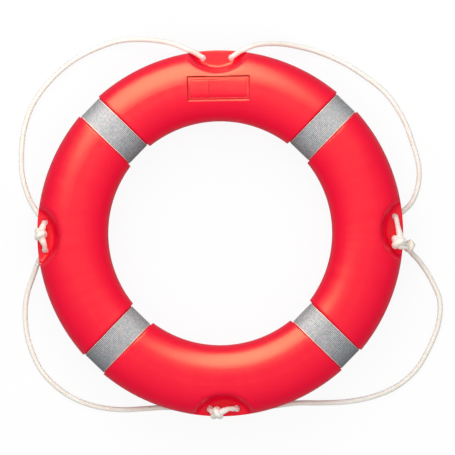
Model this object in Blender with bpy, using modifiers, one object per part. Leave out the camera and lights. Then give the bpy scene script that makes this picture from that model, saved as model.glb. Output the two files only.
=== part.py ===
"""Life ring: a hollow moulded ring with a foam core, four reflective tapes and a looped grab line.

The ring lies flat. +Z is its axis, z = 0 is the surface that it rests on, and +Y is the side with the
recessed plate. All lengths are in metres. Angles go anticlockwise from +X, seen from above.
"""

import math

import bmesh
import bpy
import numpy as np
from mathutils import Vector

# Ring
RING_OUTER_DIAMETER = 0.720
RING_INNER_DIAMETER = 0.440
RING_DEPTH = 0.110
SECTION_FULLNESS = 2.3  # exponent of the section's outline: 2 is an ellipse, more is squarer
LAND_WIDTH = 0.020  # the flat band round the front and the back
SHELL_WALL = 0.0025
CLEARANCE = 0.0003

# Rope pockets
POCKET_ANGLES = {"right": 0, "top": 90, "left": 180, "bottom": 270}
POCKET_DEPTH = 0.035  # from the rim to the web's inner edge
POCKET_RADIUS = 0.061  # of the curve that the web's inner edge follows
POCKET_DRAFT = 12.0  # degrees
POCKET_FILLET = 0.005
WEB_THICKNESS = 0.005
HOLE_DIAMETER = 0.012
HOLE_SPACING = 0.054
HOLE_INSET = 0.015  # from the rim to the middle of a hole

# Tape recesses and tapes
TAPE_ANGLES = {"upper_right": 45, "upper_left": 135, "lower_left": 225, "lower_right": 315}
TAPE_WIDTH = 0.050
TAPE_THICKNESS = 0.0008
TAPE_SIDE_GAP = 0.001
GROOVE_DEPTH = 0.005
LAP_FACETS = 2  # how many facets of the section the tape's end lies over its start

# Recessed plate
PLATE_LENGTH = 0.122
PLATE_HEIGHT = 0.0495
PLATE_MIDDLE = 0.2855  # from the ring's axis
PLATE_DEPTH = 0.0014
PLATE_BORDER = 0.005  # from the plate's edge to its raised frame
PLATE_FRAME = 0.003
PLATE_DIVISION = 0.034  # width of the frame's narrow field

# Plugs on the back
FILLING_PLUG_ANGLE = 292.5
VENT_PLUG_ANGLE = 112.5
FILLING_HEAD_DIAMETER = 0.026
FILLING_STEM_DIAMETER = 0.018
VENT_HEAD_DIAMETER = 0.016
VENT_STEM_DIAMETER = 0.009
PLUG_HEAD_THICKNESS = 0.0025
PLUG_STEM_LENGTH = 0.011
PLUG_SUNK = 0.0008  # from the back's surface to the head
PLUG_CHAMFER = 0.0006
PLUG_DISH_DEPTH = 0.0008
PLUG_DISH_SHARE = 0.6  # of the head's radius

# Grab line
ROPE_DIAMETER = 0.010
ROPE_STEP = 0.030  # between the points of a free loop
ROPE_END_STEPS = (0.005, 0.013, 0.023, 0.036)  # closer points where a loop bends into a pocket
PASS_STEP = 0.0050  # between the points of a passage through a pocket
PORT_DROP = 0.0075  # from the middle of the web down to where a loop meets the rope in the hole
LAID_HEIGHT = ROPE_DIAMETER / 2 + 0.0002
KNOT_UNIT = 0.0090  # spacing of touching strands in a tight knot
KNOT_TUBE = 0.0079  # the rope drawn thinner in the knot
SMALL_KNOT_SHARE = 0.75

# Facets
RING_FACETS = 64
HOLLOW_FACETS = 40
SECTION_FACETS = 5  # on each quarter of the shell's section
HOLLOW_SECTION_FACETS = 3
POCKET_FACETS = 32
HOLLOW_POCKET_FACETS = 24
HOLE_FACETS = 14
PLUG_FACETS = 16
OVERSHOOT = 0.010  # how far a cutter stands out of what it cuts

RIM = RING_OUTER_DIAMETER / 2
SECTION_RADIUS = (RING_OUTER_DIAMETER + RING_INNER_DIAMETER) / 4
SECTION_HALF_WIDTH = (RING_OUTER_DIAMETER - RING_INNER_DIAMETER) / 4
MID_HEIGHT = RING_DEPTH / 2

# Free loops: angle round the ring, reach beyond the rim and height, chosen by eye (degrees, mm, mm)
LOOP_ROUTES = {
    "upper_left": (
        (98.9, 5.5, 70), (102.8, 23.5, 61), (108.0, 42.0, 39), (111.8, 53.5, 22), (116.0, 63.0, 10),
        (121.0, 71.5, 5.2), (128.7, 80.5, 5.2), (136.5, 83.5, 5.2), (144.3, 81.5, 5.2),
        (151.0, 73.0, 5.2), (157.0, 59.5, 5.2), (162.7, 43.0, 5.2), (168.4, 21.5, 6.0), (172.3, 4.5, 11.5),
    ),
    "upper_right": (
        (81.7, 3.5, 70), (79.0, 14.5, 63), (75.6, 23.5, 49), (71.3, 30.5, 31), (66.7, 36.5, 16),
        (61.5, 44.0, 6.5), (54.0, 53.5, 5.2), (46.5, 62.5, 5.2), (38.9, 68.0, 5.2), (31.0, 67.0, 5.2),
        (24.0, 61.5, 5.2), (17.0, 54.0, 5.2), (11.5, 39.0, 5.2), (8.0, 21.5, 6.0), (6.0, 4.5, 11.5),
    ),
    "lower_left": (
        (187.9, 3.0, 11.5), (192.0, 19.0, 6.0), (197.0, 39.5, 5.2), (203.0, 58.0, 5.2),
        (209.5, 72.0, 5.2), (217.0, 81.0, 5.2), (225.0, 74.5, 5.2), (232.0, 62.0, 5.2),
        (239.0, 42.0, 5.2), (245.0, 19.5, 5.2), (251.0, 1.5, 5.2), (257.5, -7.5, 6.0), (262.3, -11.0, 11.5),
    ),
    "lower_right": (
        (352.2, 33.0, 20), (349.4, 51.5, 9.5), (346.0, 73.0, 5.2), (341.6, 96.0, 5.2),
        (336.2, 108.5, 5.2), (330.0, 110.5, 5.2), (324.0, 108.5, 5.2), (318.0, 98.0, 5.2),
        (312.0, 79.0, 5.2), (306.0, 54.0, 5.2), (300.0, 29.0, 5.2), (293.0, 7.0, 5.2),
        (285.0, -4.5, 5.2), (281.0, -8.5, 6.5), (277.5, -11.0, 12.5),
    ),
}


def new_collection(name):
    made = bpy.data.collections.new(name)
    bpy.context.scene.collection.children.link(made)
    return made


for old in list(bpy.data.objects):
    bpy.data.objects.remove(old, do_unlink=True)
LIFE_RING = new_collection("life_ring")
CUTTERS = new_collection("life_ring_cutters")


def material(name, colour, roughness):
    made = bpy.data.materials.new(name)
    made.use_nodes = True
    made.diffuse_color = (*colour, 1.0)
    shader = made.node_tree.nodes["Principled BSDF"]
    shader.inputs["Base Color"].default_value = (*colour, 1.0)
    shader.inputs["Roughness"].default_value = roughness
    shader.inputs["Metallic"].default_value = 0.0
    return made


def place(name, data, finish=None):
    """Puts a visible piece in the ring's collection, or a cutter among the cutters."""
    piece = bpy.data.objects.new(name, data)
    if finish:
        LIFE_RING.objects.link(piece)
        data.materials.append(finish)
    else:
        CUTTERS.objects.link(piece)
        piece.hide_render = True
        piece.display_type = "WIRE"
    return piece


def boolean(piece, other, operation="DIFFERENCE"):
    step = piece.modifiers.new(f"{operation.lower()}_{other.name}", "BOOLEAN")
    step.operation = operation
    step.solver = "EXACT"
    step.object = other


def turned(name, profile, facets, finish=None, closed=False):
    """A turned solid: a profile of (radius, height) that runs down its outer side, with a Screw."""
    outline = bmesh.new()
    points = [outline.verts.new((radius, 0, height)) for radius, height in profile]
    for first, second in zip(points, points[1:]):
        outline.edges.new((first, second))
    if closed:
        outline.edges.new((points[-1], points[0]))
    data = bpy.data.meshes.new(name)
    outline.to_mesh(data)
    outline.free()
    piece = place(name, data, finish)
    screw = piece.modifiers.new("turned", "SCREW")
    screw.axis = "Z"
    screw.steps = facets
    screw.render_steps = facets
    screw.use_merge_vertices = True
    screw.merge_threshold = 0.00001
    screw.use_smooth_shade = True
    return piece


def around(radius, angle, height=0.0):
    turn = math.radians(angle)
    return Vector((radius * math.cos(turn), radius * math.sin(turn), height))


def section(inset, facets):
    """The ring's section, as (radius, height) from the top land down the outer side and back up the inner.

    It is a superellipse with a flat land at the top and the bottom, and inset moves it inwards along
    its normals.
    """
    power = SECTION_FULLNESS
    wide = SECTION_HALF_WIDTH
    at_land = (LAND_WIDTH / 2 / wide) ** power
    tall = MID_HEIGHT / (1 - at_land) ** (1 / power)
    slope = math.atan2(
        (MID_HEIGHT / tall) ** (power - 1) / tall, (LAND_WIDTH / 2 / wide) ** (power - 1) / wide
    )
    outer = []
    for step in range(-facets, facets + 1):
        normal = -slope * step / facets
        across = (wide * math.cos(normal)) ** (power / (power - 1))
        along = abs(tall * math.sin(normal)) ** (power / (power - 1))
        out = wide * (across / (across + along)) ** (1 / power)
        up = tall * (along / (across + along)) ** (1 / power)
        up = math.copysign(up, normal)
        outer.append((out - inset * math.cos(normal), up - inset * math.sin(normal)))
    outer[0] = (outer[0][0], MID_HEIGHT - inset)
    outer[-1] = (outer[-1][0], inset - MID_HEIGHT)
    inner = [(-out, up) for out, up in reversed(outer)]
    return [(SECTION_RADIUS + out, MID_HEIGHT + up) for out, up in outer + inner]


def ring(name, inset, ring_facets, section_facets, finish=None):
    return turned(name, section(inset, section_facets), ring_facets, finish, closed=True)


def section_band(name, angle, width, inset, thickness, facets, finish=None, lap=None):
    """A band of the given thickness wound round the section, on a surface at the given inset.

    It runs straight across its width, as a flat tape has to. With a lap, the band is a strip whose
    end lies over its start on the back.
    """
    base = section(inset, facets)
    start = len(base) // 2
    path = base[start:] + base[:start]
    if lap:
        lifted = section(inset - thickness - CLEARANCE, facets)
        path += (lifted[start:] + lifted[:start])[: lap + 1]
    outline = bmesh.new()
    points = [outline.verts.new((radius, -width / 2, height)) for radius, height in path]
    edges = [outline.edges.new(pair) for pair in zip(points, points[1:])]
    if not lap:
        edges.append(outline.edges.new((points[-1], points[0])))
    bmesh.ops.extrude_edge_only(outline, edges=edges)
    moved = [v for v in outline.verts if v not in points]
    bmesh.ops.translate(outline, verts=moved, vec=(0, width, 0))
    bmesh.ops.recalc_face_normals(outline, faces=outline.faces)
    outline.faces.ensure_lookup_table()
    middle = Vector((SECTION_RADIUS, 0, MID_HEIGHT))
    outward = outline.faces[0].calc_center_median() - middle
    if outline.faces[0].normal.dot(outward) < 0:
        bmesh.ops.reverse_faces(outline, faces=outline.faces)
    data = bpy.data.meshes.new(name)
    outline.to_mesh(data)
    outline.free()
    piece = place(name, data, finish)
    wall = piece.modifiers.new("thickness", "SOLIDIFY")
    wall.thickness = thickness
    wall.offset = 1.0
    wall.use_even_offset = True
    piece.rotation_euler.z = math.radians(angle)
    return piece


def disc(name, radius, low, high, facets, middle):
    """An upright cylinder between two heights."""
    solid = bmesh.new()
    bmesh.ops.create_cone(
        solid, cap_ends=True, segments=facets, radius1=radius, radius2=radius, depth=high - low
    )
    data = bpy.data.meshes.new(name)
    solid.to_mesh(data)
    solid.free()
    piece = place(name, data)
    piece.location = (middle.x, middle.y, (low + high) / 2)
    return piece


def pocket_axis(side):
    return around(RIM - POCKET_DEPTH + POCKET_RADIUS, POCKET_ANGLES[side])


def pocket_widening(rise):
    return rise * math.tan(math.radians(POCKET_DRAFT))


def pocket_cutter(side, face):
    """Cuts one face of a pocket: drafted walls that meet the web in a rounded corner."""
    tall = MID_HEIGHT + OVERSHOOT
    web = WEB_THICKNESS / 2
    profile = [(0, tall), (POCKET_RADIUS + pocket_widening(tall - web), tall)]
    lean = math.radians(POCKET_DRAFT)
    run_out = POCKET_FILLET * math.tan((math.pi / 2 - lean) / 2)
    corner = Vector((POCKET_RADIUS - run_out, web + POCKET_FILLET))
    steps = 2
    for step in range(steps + 1):
        turn = -lean - (math.pi / 2 - lean) * step / steps
        profile.append((corner.x + POCKET_FILLET * math.cos(turn), corner.y + POCKET_FILLET * math.sin(turn)))
    profile.append((0, web))
    if face == "back":
        profile = [(radius, -height) for radius, height in reversed(profile)]
    cutter = turned(f"pocket_{side}_{face}", profile, POCKET_FACETS)
    cutter.location = pocket_axis(side) + Vector((0, 0, MID_HEIGHT))
    cutter.rotation_euler.z = math.radians(POCKET_ANGLES[side])
    return cutter


def pocket_block(side, growth):
    """The part of the hollow that a pocket takes up: its two faces, its web and the walls round them."""
    tall = MID_HEIGHT + OVERSHOOT
    waist = POCKET_RADIUS + growth
    flare = waist + pocket_widening(tall)
    profile = [(0, tall), (flare, tall), (waist, 0), (flare, -tall), (0, -tall)]
    block = turned(f"block_{side}_{growth * 1e6:.0f}", profile, HOLLOW_POCKET_FACETS)
    block.location = pocket_axis(side) + Vector((0, 0, MID_HEIGHT))
    block.rotation_euler.z = math.radians(POCKET_ANGLES[side])
    return block


def by_pocket(side, along, out, height):
    """A point by a pocket: anticlockwise along the rim, out from the rim, and over the floor."""
    outwards = around(1, POCKET_ANGLES[side])
    sideways = around(1, POCKET_ANGLES[side] + 90)
    return outwards * (RIM + out) + sideways * along + Vector((0, 0, height))


PLUGS = {
    "filling": (FILLING_PLUG_ANGLE, FILLING_HEAD_DIAMETER / 2, FILLING_STEM_DIAMETER / 2),
    "vent": (VENT_PLUG_ANGLE, VENT_HEAD_DIAMETER / 2, VENT_STEM_DIAMETER / 2),
}
SEAT_HEIGHT = PLUG_SUNK + PLUG_HEAD_THICKNESS + CLEARANCE


def plug_seat(kind):
    """The shell's recess for a plug's head and the hole for its stem."""
    angle, head, stem = PLUGS[kind]
    middle = around(SECTION_RADIUS, angle)
    recess = disc(f"{kind}_recess", head + CLEARANCE, -OVERSHOOT, SEAT_HEIGHT, PLUG_FACETS, middle)
    top = SEAT_HEIGHT + SHELL_WALL + OVERSHOOT
    hole = disc(f"{kind}_hole", stem + CLEARANCE, SEAT_HEIGHT / 2, top, PLUG_FACETS, middle)
    return recess, hole


def plug_boss(kind, growth):
    """The thickness that the shell's wall keeps round a plug's recess."""
    angle, head, _ = PLUGS[kind]
    radius = head + CLEARANCE + SHELL_WALL + growth
    top = SEAT_HEIGHT + SHELL_WALL + growth
    name = f"{kind}_boss_{growth * 1e6:.0f}"
    return disc(name, radius, -OVERSHOOT, top, PLUG_FACETS, around(SECTION_RADIUS, angle))


def hollow(name, clear, finish=None):
    """The space inside the shell, drawn in by a clearance: it cuts the shell, and the foam fills it."""
    inset = SHELL_WALL + clear
    piece = ring(name, inset, HOLLOW_FACETS, HOLLOW_SECTION_FACETS, finish)
    for side in POCKET_ANGLES:
        boolean(piece, pocket_block(side, SHELL_WALL + clear))
    groove_width = TAPE_WIDTH + 2 * (TAPE_SIDE_GAP + SHELL_WALL + clear)
    for corner, angle in TAPE_ANGLES.items():
        band = section_band(
            f"{name}_under_{corner}",
            angle,
            groove_width,
            GROOVE_DEPTH + inset,
            GROOVE_DEPTH + inset + OVERSHOOT,
            SECTION_FACETS,
        )
        boolean(piece, band)
    for kind in PLUGS:
        boolean(piece, plug_boss(kind, clear))
    return piece


def plate_cutter():
    """Cuts the plate's recess to one depth all over the curved face, and leaves its frame standing."""
    half_length = PLATE_LENGTH / 2
    half_height = PLATE_HEIGHT / 2
    solid = bmesh.new()
    bmesh.ops.create_cube(solid, size=1.0)
    bmesh.ops.scale(solid, vec=(PLATE_LENGTH, PLATE_HEIGHT, MID_HEIGHT), verts=solid.verts)
    data = bpy.data.meshes.new("plate_recess")
    solid.to_mesh(data)
    solid.free()
    cutter = place("plate_recess", data)
    cutter.location = (0, PLATE_MIDDLE, RING_DEPTH)
    boolean(cutter, ring("plate_floor", PLATE_DEPTH, RING_FACETS, SECTION_FACETS))

    left = -half_length + PLATE_BORDER
    right = half_length - PLATE_BORDER
    low = -half_height + PLATE_BORDER
    high = half_height - PLATE_BORDER
    division = left + PLATE_FRAME + PLATE_DIVISION
    inner_low = low + PLATE_FRAME
    inner_high = high - PLATE_FRAME
    fields = (
        (left, right, low, high),
        (left + PLATE_FRAME, division, inner_low, inner_high),
        (division + PLATE_FRAME, right - PLATE_FRAME, inner_low, inner_high),
    )
    outline = bpy.data.curves.new("plate_frame", "CURVE")
    outline.dimensions = "2D"
    outline.fill_mode = "BOTH"
    outline.extrude = MID_HEIGHT
    for west, east, south, north in fields:
        spline = outline.splines.new("POLY")
        spline.points.add(3)
        for point, (x, y) in zip(spline.points, ((west, south), (east, south), (east, north), (west, north))):
            point.co = (x, y, 0, 1)
        spline.use_cyclic_u = True
    flat = bpy.data.objects.new("plate_frame_outline", outline)
    flat.location = (0, PLATE_MIDDLE, RING_DEPTH)
    CUTTERS.objects.link(flat)
    boolean(cutter, as_mesh(flat, "plate_frame"))
    return cutter


def as_mesh(curve_object, name):
    """Turns a curve into a closed mesh, because a Boolean takes no curve."""
    bpy.context.view_layer.update()
    graph = bpy.context.evaluated_depsgraph_get()
    data = bpy.data.meshes.new_from_object(curve_object.evaluated_get(graph))
    solid = bmesh.new()
    solid.from_mesh(data)
    bmesh.ops.remove_doubles(solid, verts=solid.verts, dist=0.000001)
    bmesh.ops.recalc_face_normals(solid, faces=solid.faces)
    solid.to_mesh(data)
    solid.free()
    piece = place(name, data)
    piece.matrix_world = curve_object.matrix_world.copy()
    bpy.data.objects.remove(curve_object, do_unlink=True)
    return piece


def ring_shell(finish):
    shell = ring("ring_shell", 0, RING_FACETS, SECTION_FACETS, finish)
    for side in POCKET_ANGLES:
        boolean(shell, pocket_cutter(side, "front"))
        boolean(shell, pocket_cutter(side, "back"))
    groove_width = TAPE_WIDTH + 2 * TAPE_SIDE_GAP
    for corner, angle in TAPE_ANGLES.items():
        groove = section_band(
            f"groove_{corner}", angle, groove_width, GROOVE_DEPTH, GROOVE_DEPTH + OVERSHOOT, SECTION_FACETS
        )
        boolean(shell, groove)
    for side in POCKET_ANGLES:
        for hand in (-1, 1):
            middle = by_pocket(side, hand * HOLE_SPACING / 2, -HOLE_INSET, 0)
            low = MID_HEIGHT - WEB_THICKNESS
            high = MID_HEIGHT + WEB_THICKNESS
            name = f"hole_{side}_{'before' if hand < 0 else 'after'}"
            boolean(shell, disc(name, HOLE_DIAMETER / 2, low, high, HOLE_FACETS, middle))
    boolean(shell, plate_cutter())
    boolean(shell, hollow("shell_hollow", 0))
    for kind in PLUGS:
        for cutter in plug_seat(kind):
            boolean(shell, cutter)
    return shell


def foam_core(finish):
    core = hollow("foam_core", CLEARANCE, finish)
    for kind, (angle, _, stem) in PLUGS.items():
        top = SEAT_HEIGHT - CLEARANCE + PLUG_STEM_LENGTH + CLEARANCE
        socket = disc(
            f"{kind}_socket", stem + CLEARANCE, 0, top, PLUG_FACETS, around(SECTION_RADIUS, angle)
        )
        boolean(core, socket)
    return core


def plug(kind, finish):
    """A stopper with a dished and chamfered head, sunk into the back, and a plain stem."""
    angle, head, stem = PLUGS[kind]
    face = PLUG_SUNK
    back = face + PLUG_HEAD_THICKNESS
    dish = head * PLUG_DISH_SHARE
    profile = [
        (0, back + PLUG_STEM_LENGTH),
        (stem - PLUG_CHAMFER, back + PLUG_STEM_LENGTH),
        (stem, back + PLUG_STEM_LENGTH - PLUG_CHAMFER),
        (stem, back),
        (head, back),
        (head, face + PLUG_CHAMFER),
        (head - PLUG_CHAMFER, face),
        (dish, face),
        (dish - PLUG_DISH_DEPTH, face + PLUG_DISH_DEPTH),
        (0, face + PLUG_DISH_DEPTH),
    ]
    piece = turned(f"{kind}_plug", profile, PLUG_FACETS, finish)
    piece.location = around(SECTION_RADIUS, angle)
    return piece


def reflective_tape(corner, finish):
    return section_band(
        f"reflective_tape_{corner}",
        TAPE_ANGLES[corner],
        TAPE_WIDTH,
        GROOVE_DEPTH - CLEARANCE,
        TAPE_THICKNESS,
        SECTION_FACETS,
        finish,
        lap=LAP_FACETS,
    )


def smooth_path(points, per_span=10):
    """A smooth curve through route points: a centripetal Catmull-Rom, on rows of x, y, z and thickness."""
    rows = np.array(points, float)
    rows = np.vstack([2 * rows[0] - rows[1], rows, 2 * rows[-1] - rows[-2]])
    pieces = []
    for k in range(1, len(rows) - 2):
        p0, p1, p2, p3 = rows[k - 1 : k + 3]
        t0 = 0.0
        t1 = t0 + math.sqrt(np.linalg.norm((p1 - p0)[:3]))
        t2 = t1 + math.sqrt(np.linalg.norm((p2 - p1)[:3]))
        t3 = t2 + math.sqrt(np.linalg.norm((p3 - p2)[:3]))
        t = np.linspace(t1, t2, per_span, endpoint=False)[:, None]
        a1 = (t1 - t) / (t1 - t0) * p0 + (t - t0) / (t1 - t0) * p1
        a2 = (t2 - t) / (t2 - t1) * p1 + (t - t1) / (t2 - t1) * p2
        a3 = (t3 - t) / (t3 - t2) * p2 + (t - t2) / (t3 - t2) * p3
        b1 = (t2 - t) / (t2 - t0) * a1 + (t - t0) / (t2 - t0) * a2
        b2 = (t3 - t) / (t3 - t1) * a2 + (t - t1) / (t3 - t1) * a3
        pieces.append((t2 - t) / (t2 - t1) * b1 + (t - t1) / (t2 - t1) * b2)
    pieces.append(rows[-2][None])
    return np.vstack(pieces)


def along_path(path):
    steps = np.linalg.norm(np.diff(path[:, :3], axis=0), axis=1)
    return np.concatenate([[0.0], np.cumsum(steps)])


def read_at(path, stations):
    """The rows of a path at the given distances along it."""
    run = along_path(path)
    return np.column_stack([np.interp(stations, run, path[:, k]) for k in range(path.shape[1])])


def rope_tube(name, rows, finish):
    """A rope as a round tube along rows of x, y, z and a share of its thickness."""
    data = bpy.data.curves.new(name, "CURVE")
    data.dimensions = "3D"
    data.bevel_depth = ROPE_DIAMETER / 2
    data.bevel_resolution = 2
    data.use_fill_caps = True
    spline = data.splines.new("POLY")
    spline.points.add(len(rows) - 1)
    for point, (x, y, z, share) in zip(spline.points, rows):
        point.co = (x, y, z, 1)
        point.radius = share
    return place(name, data, finish)


def row(point, share=1.0):
    return (*point, share)


def port(side, along):
    """Where a loop meets the rope in a hole, from below."""
    return by_pocket(side, along, -HOLE_INSET, MID_HEIGHT - PORT_DROP)


DOWN = Vector((0, 0, -1))
BEFORE = -HOLE_SPACING / 2
AFTER = HOLE_SPACING / 2


def front_run(along):
    """The rope's way out of a top hole over the front: the bend's points, its end and its direction."""
    bend = 0.0085
    hand = math.copysign(1, along)
    outwards = (by_pocket("top", hand * 0.029, 0.019, 0) - by_pocket("top", 0, 0, 0)).normalized()
    rise = math.radians(13)
    turn = math.pi / 2 - rise
    hole = by_pocket("top", along, -HOLE_INSET, MID_HEIGHT + 0.001)
    points = []
    steps = 4
    for step in range(steps + 1):
        a = turn * step / steps
        points.append(hole + outwards * bend * (1 - math.cos(a)) + Vector((0, 0, bend * math.sin(a))))
    heading = (outwards * math.cos(rise) + Vector((0, 0, math.sin(rise)))).normalized()
    points.append(points[-1] + heading * 0.004)
    points.append(points[-1] + heading * 0.004)
    return points, heading


def top_passage(finish):
    """The rope behind the top web: out of one hole to the front and out of the other."""
    bend = 0.008
    level = MID_HEIGHT - 0.0095
    front_after, _ = front_run(AFTER)
    front_before, _ = front_run(BEFORE)
    behind = []
    steps = 4
    for step in range(1, steps + 1):
        a = math.pi / 2 * step / steps
        inwards = bend * (1 - math.cos(a))
        behind.append(by_pocket("top", AFTER - inwards, -HOLE_INSET, level + bend * (1 - math.sin(a))))
    middle = by_pocket("top", 0, -HOLE_INSET, level)
    mirrored = [Vector((2 * middle.x - p.x, p.y, p.z)) for p in reversed(behind)]
    points = list(reversed(front_after)) + behind + [middle] + mirrored + front_before
    path = smooth_path([row(p) for p in points])
    count = round(along_path(path)[-1] / PASS_STEP)
    rope_tube("line_through_top_pocket", read_at(path, np.linspace(0, along_path(path)[-1], count)), finish)


def knot_half(unit):
    """Half of an overhand knot, from near its heart outwards, with x along the rope and z up.

    The rope makes one turn round a line that runs beside it, leaning towards the other half, and then
    leaves along x. The other half is this one turned half way round the y axis.
    """
    radius = 1.04
    points = []
    steps = 5
    for step in range(1, steps + 1):
        turn = math.radians(-27.5 + 227.5 * step / steps)
        lean = -0.25 + 0.48 * math.cos(turn - math.radians(30))
        points.append((lean, -1.27 + radius * math.cos(turn), 0.5 + radius * math.sin(turn)))
    points += [(-0.42, -1.95, -0.36), (0.14, -1.40, -0.56), (0.84, -0.95, -0.58), (1.6, -0.5, -0.6)]
    return [Vector(point) * unit for point in points]


def knot(middle, along, out, up, unit, first=0, last=0):
    """The rows of an overhand knot, from its -x lead to its +x lead, less some points of either lead."""
    share = KNOT_TUBE / KNOT_UNIT * unit / ROPE_DIAMETER
    half = knot_half(unit)
    other = [Vector((-p.x, p.y, -p.z)) for p in reversed(half)]
    points = (other + half)[first : len(half) * 2 - last]
    return [row(middle + along * p.x + out * -p.y + up * p.z, share) for p in points]


def strand_gap(rows, near=1.7):
    """The least gap of a knotted rope to itself, measured between its strands' surfaces."""
    run = along_path(rows)
    apart = np.linalg.norm(rows[:, None, :3] - rows[None, :, :3], axis=2)
    thick = (rows[:, None, 3] + rows[None, :, 3]) / 2 * ROPE_DIAMETER
    far = np.abs(run[:, None] - run[None, :]) > near * np.maximum(thick, KNOT_UNIT)
    return float((apart - thick)[far].min())


def knotted_passage(name, rows, finish):
    path = smooth_path(rows)
    length = along_path(path)[-1]
    tube = read_at(path, np.linspace(0, length, round(length / PASS_STEP) + 1))
    rope_tube(name, tube, finish)
    print(f"{name}: {length * 1000:.0f} mm of rope, least gap to itself {strand_gap(tube) * 1000:.2f} mm")


def rising(side, along, drops=(1.0, 0.5, 0.0, -0.4)):
    """The rope straight up through a hole from its port."""
    return [row(by_pocket(side, along, -HOLE_INSET, MID_HEIGHT - PORT_DROP * drop)) for drop in drops]


def spots(side, places):
    """Rope rows from places by a pocket: along, out and height in millimetres, and a share of thickness."""
    return [row(by_pocket(side, *(v / 1000 for v in place[:3])), place[3]) for place in places]


def pocket_knot(side, middle, hand, lean=1, first=0, last=0):
    """A knot by a pocket's web, from its lower lead to its higher one.

    The hand is the way along the rim that the lower lead leaves, and a lean of 1 or -1 puts the knot's
    body outside or inside its leads.
    """
    sideways = around(1, POCKET_ANGLES[side] + 90)
    outwards = around(1, POCKET_ANGLES[side])
    place = by_pocket(side, *(v / 1000 for v in middle))
    return knot(place, sideways * hand, outwards * lean, Vector((0, 0, 1)), KNOT_UNIT, first, last)[::-1]


def left_passage(finish):
    rows = rising("left", BEFORE)
    rows += spots("left", [(-26.2, -15, 63.5, 0.95)])
    rows += pocket_knot("left", (-4.5, -18.8, 76.2), hand=-1)
    rows += spots("left", [(19.0, -15, 76, 0.9), (25.8, -15, 66, 0.98)])
    rows += rising("left", AFTER)[::-1]
    knotted_passage("knot_at_left_pocket", rows, finish)


def bottom_passage(finish):
    rows = rising("bottom", BEFORE)
    rows += spots("bottom", [(-26.8, -14.4, 63, 0.95), (-24.8, -12.6, 69, 0.85)])
    rows += pocket_knot("bottom", (-12.8, -18.7, 76.2), hand=-1, last=1)
    rows += spots("bottom", [(10.5, -15, 79, 0.9), (20.0, -15, 71.5, 1), (25.8, -15, 64, 1)])
    rows += rising("bottom", AFTER)[::-1]
    knotted_passage("knot_at_bottom_pocket", rows, finish)


def small_knot():
    """The small knot beyond the rim, in line with the loop that leaves it, and the way it runs."""
    outwards = around(1, POCKET_ANGLES["right"])
    sideways = around(1, POCKET_ANGLES["right"] + 90)
    along = (outwards * 0.53 - sideways * 0.62 - Vector((0, 0, 0.57))).normalized()
    across = (outwards * 0.76 + sideways * 0.65).normalized()
    middle = by_pocket("right", -0.0365, 0.0045, 0.047)
    up = along.cross(across).normalized()
    return knot(middle, along, across, up, KNOT_UNIT * SMALL_KNOT_SHARE, first=1), along


def right_port():
    """Where the lower right loop leaves the small knot, and its direction there."""
    rows, along = small_knot()
    heading = (along + Vector((0, 0, -0.25))).normalized()
    return Vector(rows[-1][:3]) + heading * 0.011, heading


def right_passage(finish):
    rows = rising("right", AFTER)
    rows += spots("right", [(26.3, -14.9, 63, 1), (20.5, -13.4, 68, 1), (7.0, -10.6, 69.5, 0.95)])
    rows += pocket_knot("right", (-22.3, 0.9, 76.2), hand=1, lean=-1, first=1, last=1)
    rows += spots("right", [(-33.2, -0.8, 80.5, 0.75), (-34.6, 5.6, 74.5, 0.68), (-33.8, 8.6, 65.5, 0.66)])
    small, _ = small_knot()
    rows += small
    end, heading = right_port()
    rows += [row(end - heading * 0.005, 0.95), row(end - heading * 0.0025), row(end)]
    knotted_passage("knots_at_right_pocket", rows, finish)


def loop_ends(corner):
    """Each end of a free loop: where it starts and the way it heads off."""
    ends = {
        "upper_left": ((front_run(AFTER)[0][-1], front_run(AFTER)[1]), (port("left", BEFORE), DOWN)),
        "upper_right": ((front_run(BEFORE)[0][-1], front_run(BEFORE)[1]), (port("right", AFTER), DOWN)),
        "lower_left": ((port("left", AFTER), DOWN), (port("bottom", BEFORE), DOWN)),
        "lower_right": (right_port(), (port("bottom", AFTER), DOWN)),
    }
    return ends[corner]


def free_loop(corner, finish):
    (start, away), (end, back) = loop_ends(corner)
    stubs = (CLEARANCE, 0.004, 0.008)
    points = [start + away * step for step in stubs]
    points += [around(RIM + reach / 1000, angle, height / 1000) for angle, reach, height in LOOP_ROUTES[corner]]
    points += [end + back * step for step in reversed(stubs)]
    path = smooth_path([row(p) for p in points])
    length = along_path(path)[-1]
    first = (0.0,) + ROPE_END_STEPS
    spans = round((length - 2 * first[-1]) / ROPE_STEP)
    between = np.linspace(first[-1], length - first[-1], spans + 1)
    stations = np.concatenate([first[:-1], between, length - np.array(first[:-1])[::-1]])
    rope_tube(f"grab_line_{corner}", read_at(path, stations), finish)
    print(f"grab_line_{corner}: {length * 1000:.0f} mm of rope, {len(stations)} points")


def build():
    shell_plastic = material("moulded_red_polyethylene", (0.85, 0.045, 0.035), 0.35)
    foam = material("polyurethane_foam", (0.80, 0.68, 0.42), 0.9)
    plug_plastic = material("red_polyethylene_plug", (0.72, 0.035, 0.03), 0.4)
    tape = material("silver_reflective_tape", (0.55, 0.56, 0.57), 0.45)
    rope = material("cream_braided_rope", (0.85, 0.81, 0.72), 0.85)
    ring_shell(shell_plastic)
    foam_core(foam)
    for kind in PLUGS:
        plug(kind, plug_plastic)
    for corner in TAPE_ANGLES:
        reflective_tape(corner, tape)
    top_passage(rope)
    left_passage(rope)
    bottom_passage(rope)
    right_passage(rope)
    for corner in LOOP_ROUTES:
        free_loop(corner, rope)


build()
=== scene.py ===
"""Looks of the life ring: the moulded shell, its tapes, plugs and foam, and the braided grab line.

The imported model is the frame. Lengths are in metres where nothing else is said. +Z is the ring's axis,
z = 0 is the floor, and +Y is the side with the recessed plate. Angles go anticlockwise from +X, seen
from above.
"""

import math

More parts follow.
